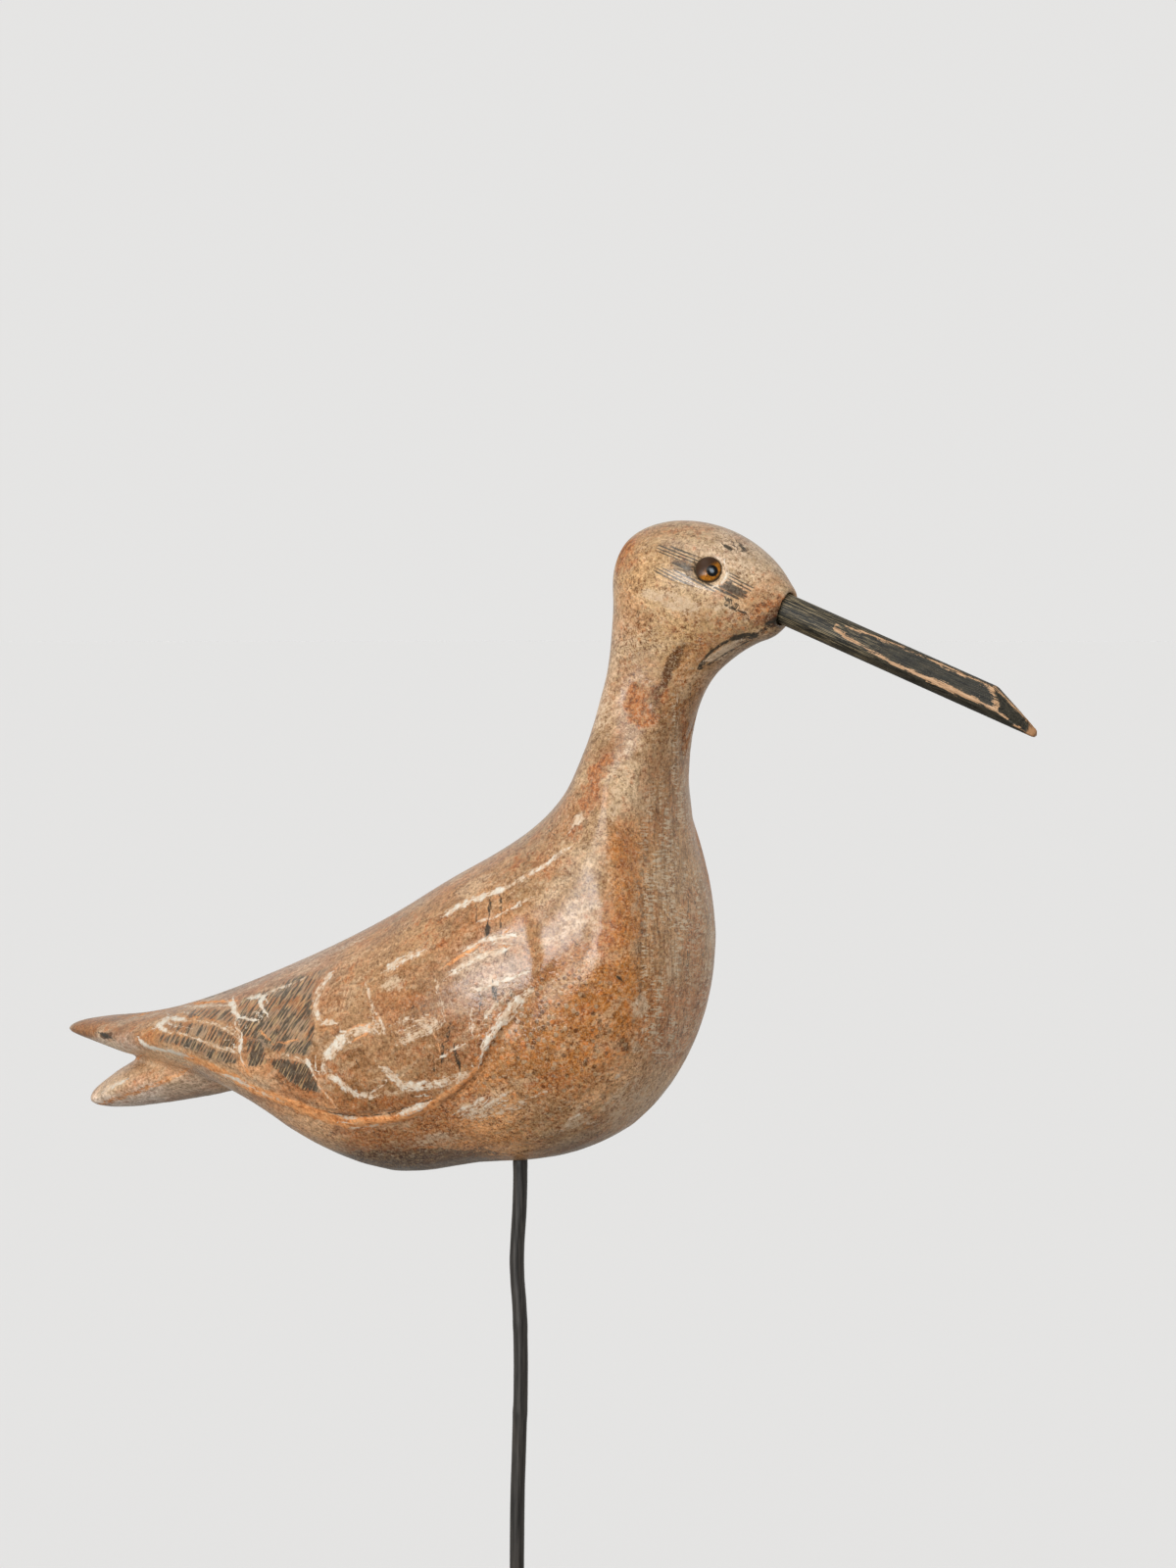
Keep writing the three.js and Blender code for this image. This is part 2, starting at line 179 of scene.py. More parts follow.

# Stains over the ground, with painted shade and painted highlights among them: x, y, half width, half
# height, turn in degrees, amount
RUST_STAINS = [
    (638, 570, 11, 22, 8, 0.6),
    (634, 560, 8, 10, 0, 0.45),
    (694, 541, 36, 7, 2, 0.25),
    (650, 714, 13, 18, 10, 1.0),
    (672, 710, 13, 13, -10, 0.9),
    (656, 733, 17, 11, 0, 0.72),
    (742, 642, 40, 12, -18, 0.5),
    (690, 646, 26, 12, -10, 0.2),
    (778, 624, 26, 13, -30, 0.75),
    (717, 664, 7, 13, 20, 0.6),
    (613, 786, 11, 19, 25, 1.0),
    (603, 812, 10, 22, 24, 0.85),
    (590, 840, 10, 14, 30, 0.5),
    (638, 890, 11, 44, 4, 0.42),
    (638, 846, 8, 26, 4, 0.3),
    (630, 960, 13, 44, 12, 0.5),
    (620, 945, 9, 34, 8, 0.6),
    (530, 880, 24, 8, -30, 0.45),
    (560, 990, 14, 30, 60, 0.2),
    (600, 1050, 50, 50, 0, 0.2),
    (560, 1090, 30, 26, 0, 0.3),
    (699, 768, 3.6, 44, 2, 1.1),
    (702, 1010, 3, 60, -2, 0.35),
    (474, 1128, 30, 15, -20, 0.5),
    (385, 1124, 60, 6, 4, 0.35),
    (450, 1066, 30, 16, -10, 0.3),
    (350, 1086, 20, 18, 0, 0.2),
    (400, 945, 40, 10, -24, 0.25),
    (450, 955, 26, 14, -20, 0.35),
    (365, 1000, 20, 18, -20, 0.3),
    (270, 1052, 34, 20, 0, 0.3),
    (200, 1072, 40, 6, 16, 0.3),
    (120, 1045, 36, 8, 4, 0.2),
    (145, 1104, 36, 7, -18, 0.2),
]
UMBER_STAINS_AND_BELLY_SHADE = [
    (687, 678, 7, 26, 27, 0.78),
    (672, 708, 7, 18, 20, 0.55),
    (716, 652, 20, 7, -20, 0.22),
    (790, 630, 13, 9, -20, 0.75),
    (760, 640, 22, 6, -22, 0.38),
    # The next two are painted shade along the belly's bottom, laid on as umber
    (410, 1194, 120, 15, -1, 1.3),
    (420, 1180, 90, 8, -1, 0.75),
    (792, 634, 9, 6, -35, 0.9),
    (636, 1066, 8, 8, 0, 0.5),
    (690, 830, 5, 36, 0, 0.25),
    (640, 1060, 9, 30, 0, 0.25),
    (654, 950, 3.5, 110, 1, 0.36),
    (672, 706, 8, 12, 0, 0.3),
    (586, 845, 6, 10, 40, 0.3),
    (108, 1057, 5, 4, 0, 0.8),
    (455, 1072, 24, 10, 0, 0.25),
    (250, 1074, 14, 10, 0, 0.3),
    (510, 1010, 20, 8, -20, 0.3),
    (428, 1027, 18, 8, 0, 0.24),
    (560, 1145, 60, 10, -10, 0.2),
    (300, 1104, 26, 8, 10, 0.4),
    (650, 640, 26, 26, 0, 0.12),
]
PALE_STAINS_AND_HIGHLIGHTS = [
    # partly painted highlight: the pale stripe down the neck's front
    (636, 790, 9, 56, 12, 0.3),
    (684, 612, 34, 9, 14, 0.62),
    (744, 626, 26, 7, 12, 0.55),
    (745, 575, 26, 12, 24, 0.3),
    (650, 655, 16, 20, 0, 0.15),
    # painted highlight on the wing
    (500, 985, 32, 24, -24, 0.4),
    # painted highlight on the breast
    (590, 940, 22, 34, 24, 0.3),
    (590, 838, 5, 8, 20, 0.6),
    (401, 1006, 10, 10, 0, 0.62),
    # painted reflection on the low breast's lower right
    (640, 1125, 30, 16, -35, 0.55),
    # partly painted highlight: soft light along the back of the neck
    (612, 722, 11, 26, 6, 0.5),
    (492, 1130, 24, 12, -24, 0.6),
    (445, 1162, 28, 7, -6, 0.45),
    (653, 1027, 9, 14, 10, 0.6),
    (650, 1068, 6, 8, 0, 0.5),
    (590, 1142, 14, 8, -40, 0.5),
    (420, 1112, 44, 7, -8, 0.3),
    (370, 1052, 16, 7, -8, 0.4),
    (430, 1052, 26, 8, -20, 0.4),
    (738, 664.5, 23, 4.6, -32, 1.0),
    # painted reflection on the upper prong's lower facet
    (120, 1067, 28, 4, 12, 0.3),
    (270, 1020, 20, 8, -20, 0.3),
    (718, 990, 6, 60, 4, 0.2),
    (684, 985, 10, 26, 0, 0.3),
    (220, 1014, 50, 6, -14, 0.35),
    (330, 976, 40, 6, -22, 0.3),
    (165, 1090, 22, 6, -16, 0.3),
]

# Brush strokes, with painted highlights and painted shadows among them: half width in pixels, opacity, and
# the pixels they run through
WHITE_STROKES_AND_HIGHLIGHTS = [
    (2.4, 1.0, [(238, 1023), (238, 1031), (243, 1037)]),
    (1.0, 0.8, [(190, 1027), (217, 1026), (237, 1026)]),
    (0.9, 0.6, [(240, 1039), (240, 1047), (246, 1054)]),
    (1.8, 1.0, [(246, 1061), (244, 1067), (245, 1073)]),
    (1.0, 0.7, [(245, 1073), (246, 1080), (248, 1084)]),
    (1.8, 1.0, [(257, 1018), (269, 1016)]),
    (1.9, 1.0, [(267, 1017), (265, 1024), (270, 1032)]),
    (1.6, 0.9, [(250, 1039), (259, 1041)]),
    (1.3, 0.8, [(273, 1014), (286, 1008), (296, 1004)]),
    (1.0, 0.5, [(298, 1004), (314, 996)]),
    (2.3, 1.0, [(176, 1039), (187, 1040)]),
    (2.5, 1.0, [(169, 1041), (161, 1046), (168, 1051)]),
    (1.1, 0.6, [(188, 1041), (202, 1042), (217, 1044), (231, 1051), (243, 1060)]),
    (1.3, 0.65, [(172, 1053), (187, 1055), (203, 1061), (217, 1067), (241, 1073)]),
    (1.2, 0.5, [(290, 1076), (300, 1078), (312, 1084)]),
    (2.0, 0.95, [(314, 1083), (317, 1090), (320, 1097)]),
    (1.0, 0.5, [(321, 1099), (327, 1111), (339, 1124)]),
    (2.9, 0.74, [(337, 995), (326, 1008), (322, 1022), (322, 1034), (328, 1043), (338, 1043)]),
    (1.5, 1.1, [(144, 1062), (150, 1068), (160, 1070), (174, 1073), (192, 1078)]),
    # painted highlight on the lip along the wing's lower edge
    (1.7, 0.8, [(346, 1139), (356, 1141), (364, 1141)]),
    (3.4, 0.82, [(412, 1135), (422, 1132), (433, 1127)]),
    (5.2, 0.92, [(348, 1061), (343, 1067), (336, 1076)]),
    (2.6, 0.68, [(332, 1079), (330, 1092)]),
    (3.0, 0.85, [(336, 1095), (345, 1103), (356, 1112)]),
    (3.0, 0.74, [(357, 1113), (366, 1118), (377, 1119)]),
    (2.0, 0.66, [(381, 1113), (389, 1109)]),
    (3.8, 0.84, [(394, 1093), (403, 1101), (411, 1108)]),
    (4.6, 0.95, [(412, 1108), (422, 1109), (438, 1107)]),
    (4.0, 0.62, [(441, 1107), (456, 1103), (475, 1096)]),
    (1.4, 0.8, [(466, 1105), (473, 1101)]),
    (1.3, 0.5, [(349, 1150), (358, 1152), (372, 1150), (392, 1147)]),
    # these two are painted highlights on the lip along the wing's lower edge
    (1.8, 0.95, [(230, 1097), (243, 1102), (254, 1108)]),
    (1.6, 0.7, [(266, 1115), (276, 1119), (284, 1122)]),
    (1.8, 0.7, [(450, 1078), (460, 1072), (470, 1068)]),
    (3.4, 0.7, [(497, 1036), (504, 1026)]),
    # painted highlight on the lower prong's ridge
    (1.8, 1.0, [(109, 1112), (118, 1107), (126, 1103)]),
    # painted reflection on the upper prong's lower facet
    (2.6, 0.6, [(84, 1059), (104, 1065), (122, 1070), (134, 1075)]),
    (2.6, 0.62, [(724, 672), (738, 664), (752, 656)]),
    (3.0, 0.7, [(541, 1011), (532, 1018)]),
    (6.4, 0.8, [(530, 1021), (520, 1032), (512, 1041)]),
    (3.8, 0.9, [(510, 1043), (501, 1056), (494, 1068)]),
    (2.2, 0.85, [(493, 1069), (490, 1083)]),
    (2.6, 0.66, [(481, 1036), (482, 1050)]),
    (2.2, 0.5, [(502, 1036), (512, 1022), (522, 1010)]),
    (2.9, 0.84, [(457, 932), (474, 922), (494, 914), (514, 907)]),
    (2.0, 0.7, [(516, 906), (534, 896), (552, 885), (577, 868)]),
    (1.6, 0.62, [(490, 941), (506, 936), (520, 928), (538, 918)]),
    (2.3, 0.86, [(478, 967), (494, 959), (510, 956), (526, 955)]),
    (2.8, 0.78, [(460, 994), (474, 984), (494, 975), (513, 969)]),
    (2.1, 0.9, [(488, 1010), (512, 1002), (535, 993)]),
    (2.2, 0.52, [(375, 1010), (377, 1020), (380, 1031)]),
    (2.0, 0.5, [(384, 1034), (389, 1044), (392, 1053)]),
    (2.2, 0.58, [(378, 1046), (385, 1054)]),
    (4.8, 0.64, [(358, 1055), (366, 1052), (374, 1050)]),
    (5.2, 0.6, [(412, 1062), (428, 1054), (445, 1045)]),
    (3.2, 0.48, [(406, 1044), (418, 1040), (440, 1038)]),
    (2.2, 0.44, [(446, 1006), (449, 1022), (453, 1036)]),
    (3.4, 0.78, [(396, 989), (410, 980), (426, 972)]),
    (1.6, 0.8, [(474, 1140), (487, 1133), (499, 1127), (516, 1116)]),
    (2.0, 0.75, [(468, 1134), (480, 1128), (494, 1120)]),
    (1.5, 0.7, [(486, 1142), (500, 1135), (514, 1128)]),
    (1.2, 0.55, [(520, 1128), (540, 1121), (562, 1112)]),
    (4.2, 0.48, [(482, 1142), (504, 1136), (530, 1129)]),
    (3.0, 0.5, [(574, 1152), (584, 1142), (592, 1134)]),
    (2.6, 0.55, [(600, 1145), (607, 1146)]),
    (3.4, 0.66, [(583, 845), (590, 835)]),
    (2.0, 0.74, [(562, 878), (570, 872), (579, 866)]),
    (1.4, 0.42, [(350, 966), (372, 958)]),
    (0.8, 0.6, [(664, 1074), (684, 1074)]),
    (0.9, 0.42, [(650, 1024), (658, 1044), (651, 1066)]),
    (1.5, 0.45, [(672, 892), (684, 900), (678, 912), (670, 902)]),
    (1.0, 0.42, [(660, 914), (664, 926)]),
    (2.2, 0.6, [(628, 1099), (634, 1095)]),
    (1.3, 0.85, [(741, 577), (742, 585), (739, 592), (734, 597), (727, 599)]),
    (0.8, 0.45, [(691, 700), (692, 780), (690, 830)]),
]
ORANGE_STROKES = [
    (3.4, 1.1, [(191, 1078), (209, 1085), (226, 1094), (243, 1101)]),
    (4.2, 0.95, [(243, 1103), (264, 1114), (287, 1123), (305, 1128)]),
    (5.0, 1.25, [(305, 1130), (322, 1136), (340, 1143), (354, 1146), (375, 1145), (396, 1143)]),
    (3.8, 1.1, [(396, 1143), (410, 1140), (428, 1133), (445, 1125)]),
    (3.4, 0.75, [(445, 1123), (463, 1112), (477, 1101), (487, 1091)]),
    (1.7, 0.9, [(458, 984), (472, 974), (487, 965)]),
    (1.2, 0.8, [(248, 1084), (251, 1090), (255, 1097)]),
    (1.2, 0.8, [(321, 1099), (327, 1111), (339, 1124)]),
    (2.6, 0.5, [(496, 972), (514, 966)]),
    (1.6, 0.7, [(356, 1052), (366, 1046), (376, 1046), (374, 1056), (362, 1061)]),
    (1.4, 0.75, [(196, 1024), (222, 1022), (238, 1021)]),
    (1.1, 0.5, [(187, 1037), (205, 1038), (222, 1042)]),
    (1.6, 0.4, [(172, 1029), (150, 1034), (120, 1039)]),
    (3.0, 0.62, [(103, 1127), (126, 1119), (149, 1111), (170, 1102), (190, 1092)]),
    (1.4, 0.6, [(98, 1108), (112, 1096), (128, 1086), (144, 1078)]),
    (2.0, 0.45, [(440, 1040), (446, 1066)]),
    (2.0, 0.5, [(508, 958), (520, 948)]),
    (2.2, 0.55, [(270, 1056), (276, 1062)]),
    (2.2, 0.6, [(288, 1064), (298, 1062)]),
    (2.6, 0.45, [(498, 1100), (520, 1104)]),
    (2.0, 0.5, [(470, 1118), (486, 1108)]),
]
DARK_STROKES_AND_SHADOWS = [
    (1.8, 0.75, [(500, 920), (499, 930)]),
    (3.2, 0.9, [(498, 947), (497, 953)]),
    (1.3, 0.7, [(511, 929), (511, 918)]),
    (1.4, 0.65, [(511, 950), (511, 942)]),
    (1.0, 0.55, [(486, 940), (486, 928)]),
    (1.2, 0.6, [(421, 1014), (421, 1024)]),
    (2.0, 0.6, [(458, 1050), (457, 1060)]),
    (2.2, 0.85, [(468, 1086), (464, 1072)]),
    (1.8, 0.75, [(452, 1068), (451, 1084)]),
    (1.2, 0.55, [(434, 1072), (434, 1080)]),
    (1.6, 0.6, [(443, 1092), (442, 1084)]),
    (2.6, 0.85, [(504, 1008), (506, 1020)]),
    (1.8, 0.75, [(490, 1026), (490, 1016)]),
    (1.4, 0.6, [(522, 1022), (521, 1010)]),
    (1.4, 0.65, [(366, 1086), (367, 1089)]),
    (2.0, 0.5, [(515, 960), (516, 970)]),
    # painted shadow in the groove above the wing's lower edge
    (0.9, 0.7, [(331, 1134), (352, 1138), (375, 1139), (396, 1136), (420, 1129), (445, 1120)]),
    # painted shadow in the gap between the eye and its socket
    (1.6, 0.9, [(709, 577), (710, 584), (713, 589)]),
    (1.5, 0.85, [(740, 617), (748, 621), (758, 625)]),
    (0.9, 0.7, [(738, 608), (746, 612), (754, 618)]),
    (0.8, 0.6, [(740, 612), (748, 617)]),
    (1.9, 0.85, [(740, 557), (747, 561)]),
    (1.7, 0.8, [(755, 556), (760, 561)]),
    (1.0, 0.5, [(747, 562), (758, 563)]),
    (1.7, 0.85, [(713, 681), (719, 672), (727, 664), (737, 657), (748, 652)]),
    (3.0, 0.95, [(749, 651), (758, 649), (771, 648)]),
    (1.5, 0.75, [(772, 647), (780, 642), (786, 637)]),
    (3.6, 0.75, [(784, 638), (790, 634), (797, 630)]),
    (1.0, 0.7, [(714, 683), (728, 675), (742, 666), (756, 658), (768, 652)]),
    (1.4, 0.35, [(705, 690), (703, 740), (700, 800)]),
    (1.6, 0.32, [(702, 900), (703, 960), (700, 1020), (696, 1060)]),
    (2.2, 1.1, [(106, 1056), (110, 1058)]),
    (1.2, 0.7, [(586, 960), (587, 961)]),
    (1.6, 0.9, [(631, 998), (632, 999)]),
    (1.2, 0.6, [(562, 849), (566, 852)]),
    (1.2, 0.5, [(200, 1022), (226, 1014), (250, 1006)]),
]

# Fine hatching: corners of each zone, the way its hairs run in degrees, how dark it is, how fast
# the hairs change along their length, and 1 where they are straight ruled lines
HATCHED = [
    ([(244, 1019), (273, 1010), (308, 994), (340, 984), (330, 994), (320, 1010), (318, 1030),
      (322, 1050), (315, 1078), (296, 1076), (279, 1072), (262, 1062), (246, 1057), (241, 1043)],
     56, 0.5, 0.9, 0.3),
    ([(272, 1081), (292, 1082), (313, 1086), (322, 1100), (327, 1115), (308, 1110), (296, 1103),
      (286, 1095)], 66, 0.86, 0.8, 0.4),
    ([(159, 1054), (172, 1055), (196, 1059), (220, 1071), (243, 1075), (242, 1086), (224, 1084),
      (186, 1068), (160, 1063)], 62, 0.54, 0.9, 0.35),
    ([(169, 1044), (190, 1042), (220, 1047), (242, 1059), (243, 1073), (224, 1068), (202, 1058),
      (172, 1052)], 62, 0.46, 0.9, 0.35),
    ([(188, 1030), (237, 1029), (240, 1044), (220, 1042), (190, 1038)], 42, 0.46, 0.8, 0.6),
    ([(251, 1060), (268, 1062), (272, 1086), (254, 1088)], 66, 0.66, 0.8, 0.5),
    ([(246, 1042), (284, 1044), (280, 1056), (250, 1052)], 56, 0.76, 0.8, 0.5),
    ([(668, 557), (676, 555), (698, 560), (719, 568), (712, 576), (692, 573), (672, 564)],
     -22, 0.42, 0.2, 1.0),
    ([(685, 570), (694, 571), (708, 578), (706, 585), (696, 582), (685, 576)], -25, 0.97, 0.22, 0.3),
    ([(664, 578), (680, 579), (700, 583), (714, 592), (740, 600), (741, 607), (718, 602), (700, 597),
      (684, 592), (670, 585)], -28, 0.42, 0.2, 1.0),
    ([(740, 583), (752, 587), (770, 599), (766, 605), (744, 596)], -28, 0.46, 0.2, 1.0),
    ([(733, 598), (742, 593), (757, 600), (763, 609), (752, 612), (740, 606)], -28, 0.95, 0.22, 0.4),
]

# Flecked zones: x, y, half width, half height, dark flecks, light flecks, granules
FLECKED = [
    (700, 590, 80, 44, 0.6, 0.55, 0.15),
    (690, 640, 80, 24, 0.85, 0.8, 0.5),
    (775, 632, 32, 18, 1.15, 0.6, 0.8),
    (636, 574, 20, 26, 0.8, 0.5, 0.5),
    (655, 715, 40, 24, 0.7, 0.6, 0.5),
    (640, 780, 60, 60, 0.5, 0.5, 0.2),
    (600, 880, 80, 60, 0.6, 0.55, 0.15),
    (560, 940, 60, 40, 0.5, 0.5, 0.1),
    (580, 1040, 70, 60, 0.7, 0.6, 0.95),
    (540, 1070, 50, 40, 0.8, 0.7, 1.0),
    (640, 1010, 30, 90, 0.6, 0.5, 0.3),
    (690, 960, 30, 160, 0.8, 0.85, 0.0),
    (600, 1130, 90, 30, 0.75, 0.8, 0.45),
    (500, 1160, 90, 26, 0.95, 0.7, 0.4),
    (420, 1148, 50, 18, 1.0, 0.7, 0.4),
    (690, 740, 16, 60, 0.9, 0.8, 0.1),
    (420, 1185, 110, 16, 0.4, 0.9, 0.3),
    (430, 1060, 80, 50, 0.6, 0.45, 0.4),
    (430, 960, 90, 50, 0.6, 0.4, 0.2),
    (330, 1060, 60, 50, 0.5, 0.3, 0.2),
    (260, 1050, 80, 50, 0.3, 0.2, 0.0),
    (120, 1080, 60, 60, 0.35, 0.3, 0.1),
    (300, 985, 90, 30, 0.3, 0.35, 0.0),
]
# The breast's front, where the ground shows the weave of a cloth: x, y, half width, half height
WOVEN = [(680, 870, 26, 74), (680, 960, 30, 90), (678, 1050, 26, 40), (692, 770, 8, 70)]
# The wing's lower edge, stood proud of the flank, and its front edge, a soft valley
WING_EDGE = [
    (193, 1080), (229, 1096), (261, 1114), (283, 1122), (311, 1133), (351, 1146), (402, 1142),
    (433, 1129), (464, 1115), (488, 1090), (497, 1070), (514, 1044), (536, 1018),
]
WING_FRONT = [(478, 1104), (500, 1070), (522, 1040), (534, 1012), (535, 980), (529, 946), (516, 910)]
# Relief along the wings: the path, how softly it starts and ends in pixels, where the groove's
# middle lies and its reach above and below, where the raised lip lies and how proud it is, and
# how deep the whole is against the wing edge's depth
WING_RELIEF = [
    (WING_EDGE[:9], (30, 50), -6.0, (2.6, 2.6), 0.5, 0.8, 0.8),
    (WING_EDGE[7:], (50, 60), 5.0, (3.6, 3.6), -1.5, 0.5, 1.0),
    (WING_FRONT, (100, 60), 3.0, (46.0, 13.0), 0.0, 0.0, 2.3),
]


def to_linear(chart):
    """A chart colour as the numbers that a shader takes."""
    parts = np.asarray(chart, float) / 255
    return np.where(parts <= 0.04045, parts / 12.92, ((parts + 0.055) / 1.055) ** 2.4)


def paint(name):
    return (*to_linear(PAINTS[name]), 1.0)


def soft_step(t):
    """Turns a straight rise from 0 to 1 into one with soft ends."""
    t = np.clip(t, 0, 1)
    return t * t * (3 - 2 * t)


# Modelling by operator


def deselect():
    bpy.ops.object.select_all(action="DESELECT")


def only(piece):
    """Selects this piece alone and makes it the active one."""
    deselect()
    piece.select_set(True)
    bpy.context.view_layer.objects.active = piece


def modify(piece, kind, **values):
    """Adds a modifier and applies it."""
    only(piece)
    bpy.ops.object.modifier_add(type=kind)
    added = piece.modifiers[-1]
    for key, value in values.items():
        setattr(added, key, value)
    bpy.ops.object.modifier_apply(modifier=added.name)


def edit(piece):
    only(piece)
    bpy.ops.object.mode_set(mode="EDIT")
    bpy.ops.mesh.select_all(action="SELECT")


def leave():
    bpy.ops.object.mode_set(mode="OBJECT")


def edit_chosen(piece, kind, wanted):
    """Opens a piece for editing with only those of its faces or edges selected that are wanted."""
    edit(piece)
    bpy.ops.mesh.select_all(action="DESELECT")
    bpy.ops.mesh.select_mode(type=kind)
    leave()
    for part in piece.data.polygons if kind == "FACE" else piece.data.edges:
        part.select = wanted(part)
    bpy.ops.object.mode_set(mode="EDIT")


def bake_place(piece, matrix=None):
    """Leaves the object at the origin, unturned, with its place in the mesh."""
    only(piece)
    bpy.ops.object.transform_apply(location=True, rotation=True, scale=True)
    if matrix is not None:
        piece.data.transform(matrix)


def turned_to(place, start, way):
    """The matrix that turns one direction to another and then moves the origin to a place."""
    turn = Vector(start).rotation_difference(Vector(way)).to_matrix().to_4x4()
    return Matrix.Translation(Vector(place)) @ turn


def points_of(piece):
    flat = np.empty(len(piece.data.vertices) * 3)
    piece.data.vertices.foreach_get("co", flat)
    return flat.reshape(-1, 3)


def normals_of(piece):
    flat = np.empty(len(piece.data.vertices) * 3)
    piece.data.vertex_normals.foreach_get("vector", flat)
    return flat.reshape(-1, 3)


def move_points(piece, points):
    piece.data.vertices.foreach_set("co", np.ascontiguousarray(points, dtype=np.float32).ravel())
    piece.data.update()


def sand(piece, name, levels, rounds):
    """Smooths a piece by the level given for each group of its points."""
    group = piece.vertex_groups.new(name=name)
    for level, chosen in levels:
        group.add(np.nonzero(chosen)[0].tolist(), level, "REPLACE")
    modify(piece, "SMOOTH", factor=0.5, iterations=rounds, vertex_group=name)
    piece.vertex_groups.clear()


def keep_numbers(piece, name, values):
    """Stores one number, three numbers or a colour for each point of a piece."""
    kinds = {1: ("FLOAT", "value"), 3: ("FLOAT_VECTOR", "vector"), 4: ("FLOAT_COLOR", "color")}
    kind, field = kinds[1 if values.ndim == 1 else values.shape[1]]
    layer = piece.data.attributes.new(name, kind, "POINT")
    layer.data.foreach_set(field, np.ascontiguousarray(values, dtype=np.float32).ravel())


def finished(piece, name, node, material):
    """Names a finished piece, gives it its material and puts it in its solid's place."""
    piece.name = name
    piece.data.name = name
    piece.data.materials.clear()
    piece.data.materials.append(material)
    only(piece)
    bpy.ops.object.shade_smooth()
    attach(piece, "root")
    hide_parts(node)


class Nodes:
    """A node tree, with its nodes added by short calls."""

    def __init__(self, tree):
        self.tree = tree

    def add(self, kind, inputs=(), **values):
        node = self.tree.nodes.new(kind)
        for key, value in values.items():
            setattr(node, key, value)
        for key, value in dict(inputs).items():
            self.put(node.inputs[key], value)
        return node

    def put(self, socket, value):
        if isinstance(value, bpy.types.NodeSocket):
            self.tree.links.new(value, socket)
        else:
            socket.default_value = value

    def split(self, vector):
        return self.add("ShaderNodeSeparateXYZ", {"Vector": vector}).outputs

    def joined(self, x, y, z):
        return self.add("ShaderNodeCombineXYZ", {"X": x, "Y": y, "Z": z}).outputs[0]

    def math(self, kind, *values):
        return self.add("ShaderNodeMath", dict(enumerate(values)), operation=kind).outputs[0]

    def times(self, first, *others):
        for other in others:
            first = self.math("MULTIPLY", first, other)
        return first

    def plus(self, first, *others):
        for other in others:
            first = self.math("ADD", first, other)
        return first

    def minus(self, first, other):
        return self.math("SUBTRACT", first, other)

    def centred(self, value, reach, middle=0.5):
        """A noise moved to lie around 0, and stretched."""
        return self.times(self.minus(value, middle), reach)

    def ramp(self, value, low, high, start=0.0, end=1.0, kind="SMOOTHSTEP"):
        return self.add("ShaderNodeMapRange", {
            "Value": value, "From Min": low, "From Max": high, "To Min": start, "To Max": end,
        }, interpolation_type=kind).outputs[0]

    def mix(self, amount, first, second, kind="MIX"):
        return self.add(
            "ShaderNodeMix", {0: amount, 6: first, 7: second}, data_type="RGBA", blend_type=kind,
        ).outputs[2]


class Finish(Nodes):
    """One material."""

    def __init__(self, name, **sockets):
        self.material = bpy.data.materials.new(name)
        self.material.use_nodes = True
        super().__init__(self.material.node_tree)
        self.shader = self.tree.nodes["Principled BSDF"]
        self.use(**sockets)
        self.coordinates = self.add("ShaderNodeTexCoord").outputs["Object"]

    def use(self, **sockets):
        for key, value in sockets.items():
            self.put(self.shader.inputs[key.replace("_", " ")], value)

    def stored(self, name, output="Vector"):
        return self.add("ShaderNodeAttribute", attribute_name=name).outputs[output]

    def stored_four(self, name):
        """The four numbers that keep_numbers stored as a colour."""
        kept = self.add("ShaderNodeAttribute", attribute_name=name).outputs
        return (*self.split(kept["Color"]), kept["Alpha"])

    def placed(self, vector, scale=(1, 1, 1), turn=(0, 0, 0), shift=(0, 0, 0)):
        return self.add(
            "ShaderNodeMapping", {"Vector": vector, "Scale": scale, "Rotation": turn, "Location": shift},
        ).outputs["Vector"]

    def noise(self, scale, detail=2.0, rough=0.5, vector=None, twist=0.0, shift=None):
        vector = vector or self.coordinates
        if shift:
            vector = self.placed(vector, shift=shift)
        return self.add("ShaderNodeTexNoise", {
            "Vector": vector, "Scale": scale, "Detail": detail, "Roughness": rough, "Distortion": twist,
        }).outputs["Fac"]

    def stretched(self, scale, detail, rough, vector=None, shift=(0, 0, 0)):
        """A noise with a scale of its own along each axis."""
        place = self.placed(vector or self.coordinates, scale=scale, shift=shift)
        return self.noise(1.0, detail, rough, place)

    def raise_by(self, *layers):
        """Fine relief, one layer over the other: height, distance and strength of each."""
        normal = None
        for height, distance, strength in layers:
            inputs = {"Height": height, "Distance": distance, "Strength": strength}
            if normal is not None:
                inputs["Normal"] = normal
            normal = self.add("ShaderNodeBump", inputs).outputs["Normal"]
        self.use(Normal=normal)


# Where paint goes on the carving


def photo_pixels(points):
    """Where points on the bird's right side lie in the photograph. The left side is its mirror."""
    fold_start, fold_width = 0.004, 0.008
    y = points[:, 1].copy()
    fold = np.clip((y - fold_start) / fold_width, 0, 1)
    y = np.where(y > 0, y * (1 - fold) - y * fold, y)
    seen = np.column_stack([points[:, 0], y, points[:, 2]]) - CAMERA_PLACE
    depth = -(seen @ CAMERA_BACK)
    across = FRAME_SIZE[0] / 2 + FOCAL_PIXELS * (seen @ CAMERA_RIGHT) / depth
    down = FRAME_SIZE[1] / 2 - FOCAL_PIXELS * (seen @ CAMERA_UP) / depth
    return np.column_stack([across, down])


def wandering(points, size, amount):
    """Shifts that wander smoothly over the surface, to make paint edges uneven."""
    elsewhere = Vector((11.3, 5.9, 8.1))
    out = np.empty((len(points), 2))
    for i, p in enumerate(points):
        place = Vector(p) / size
        out[i] = (noise.noise(place), noise.noise(place + elsewhere))
    return out * amount


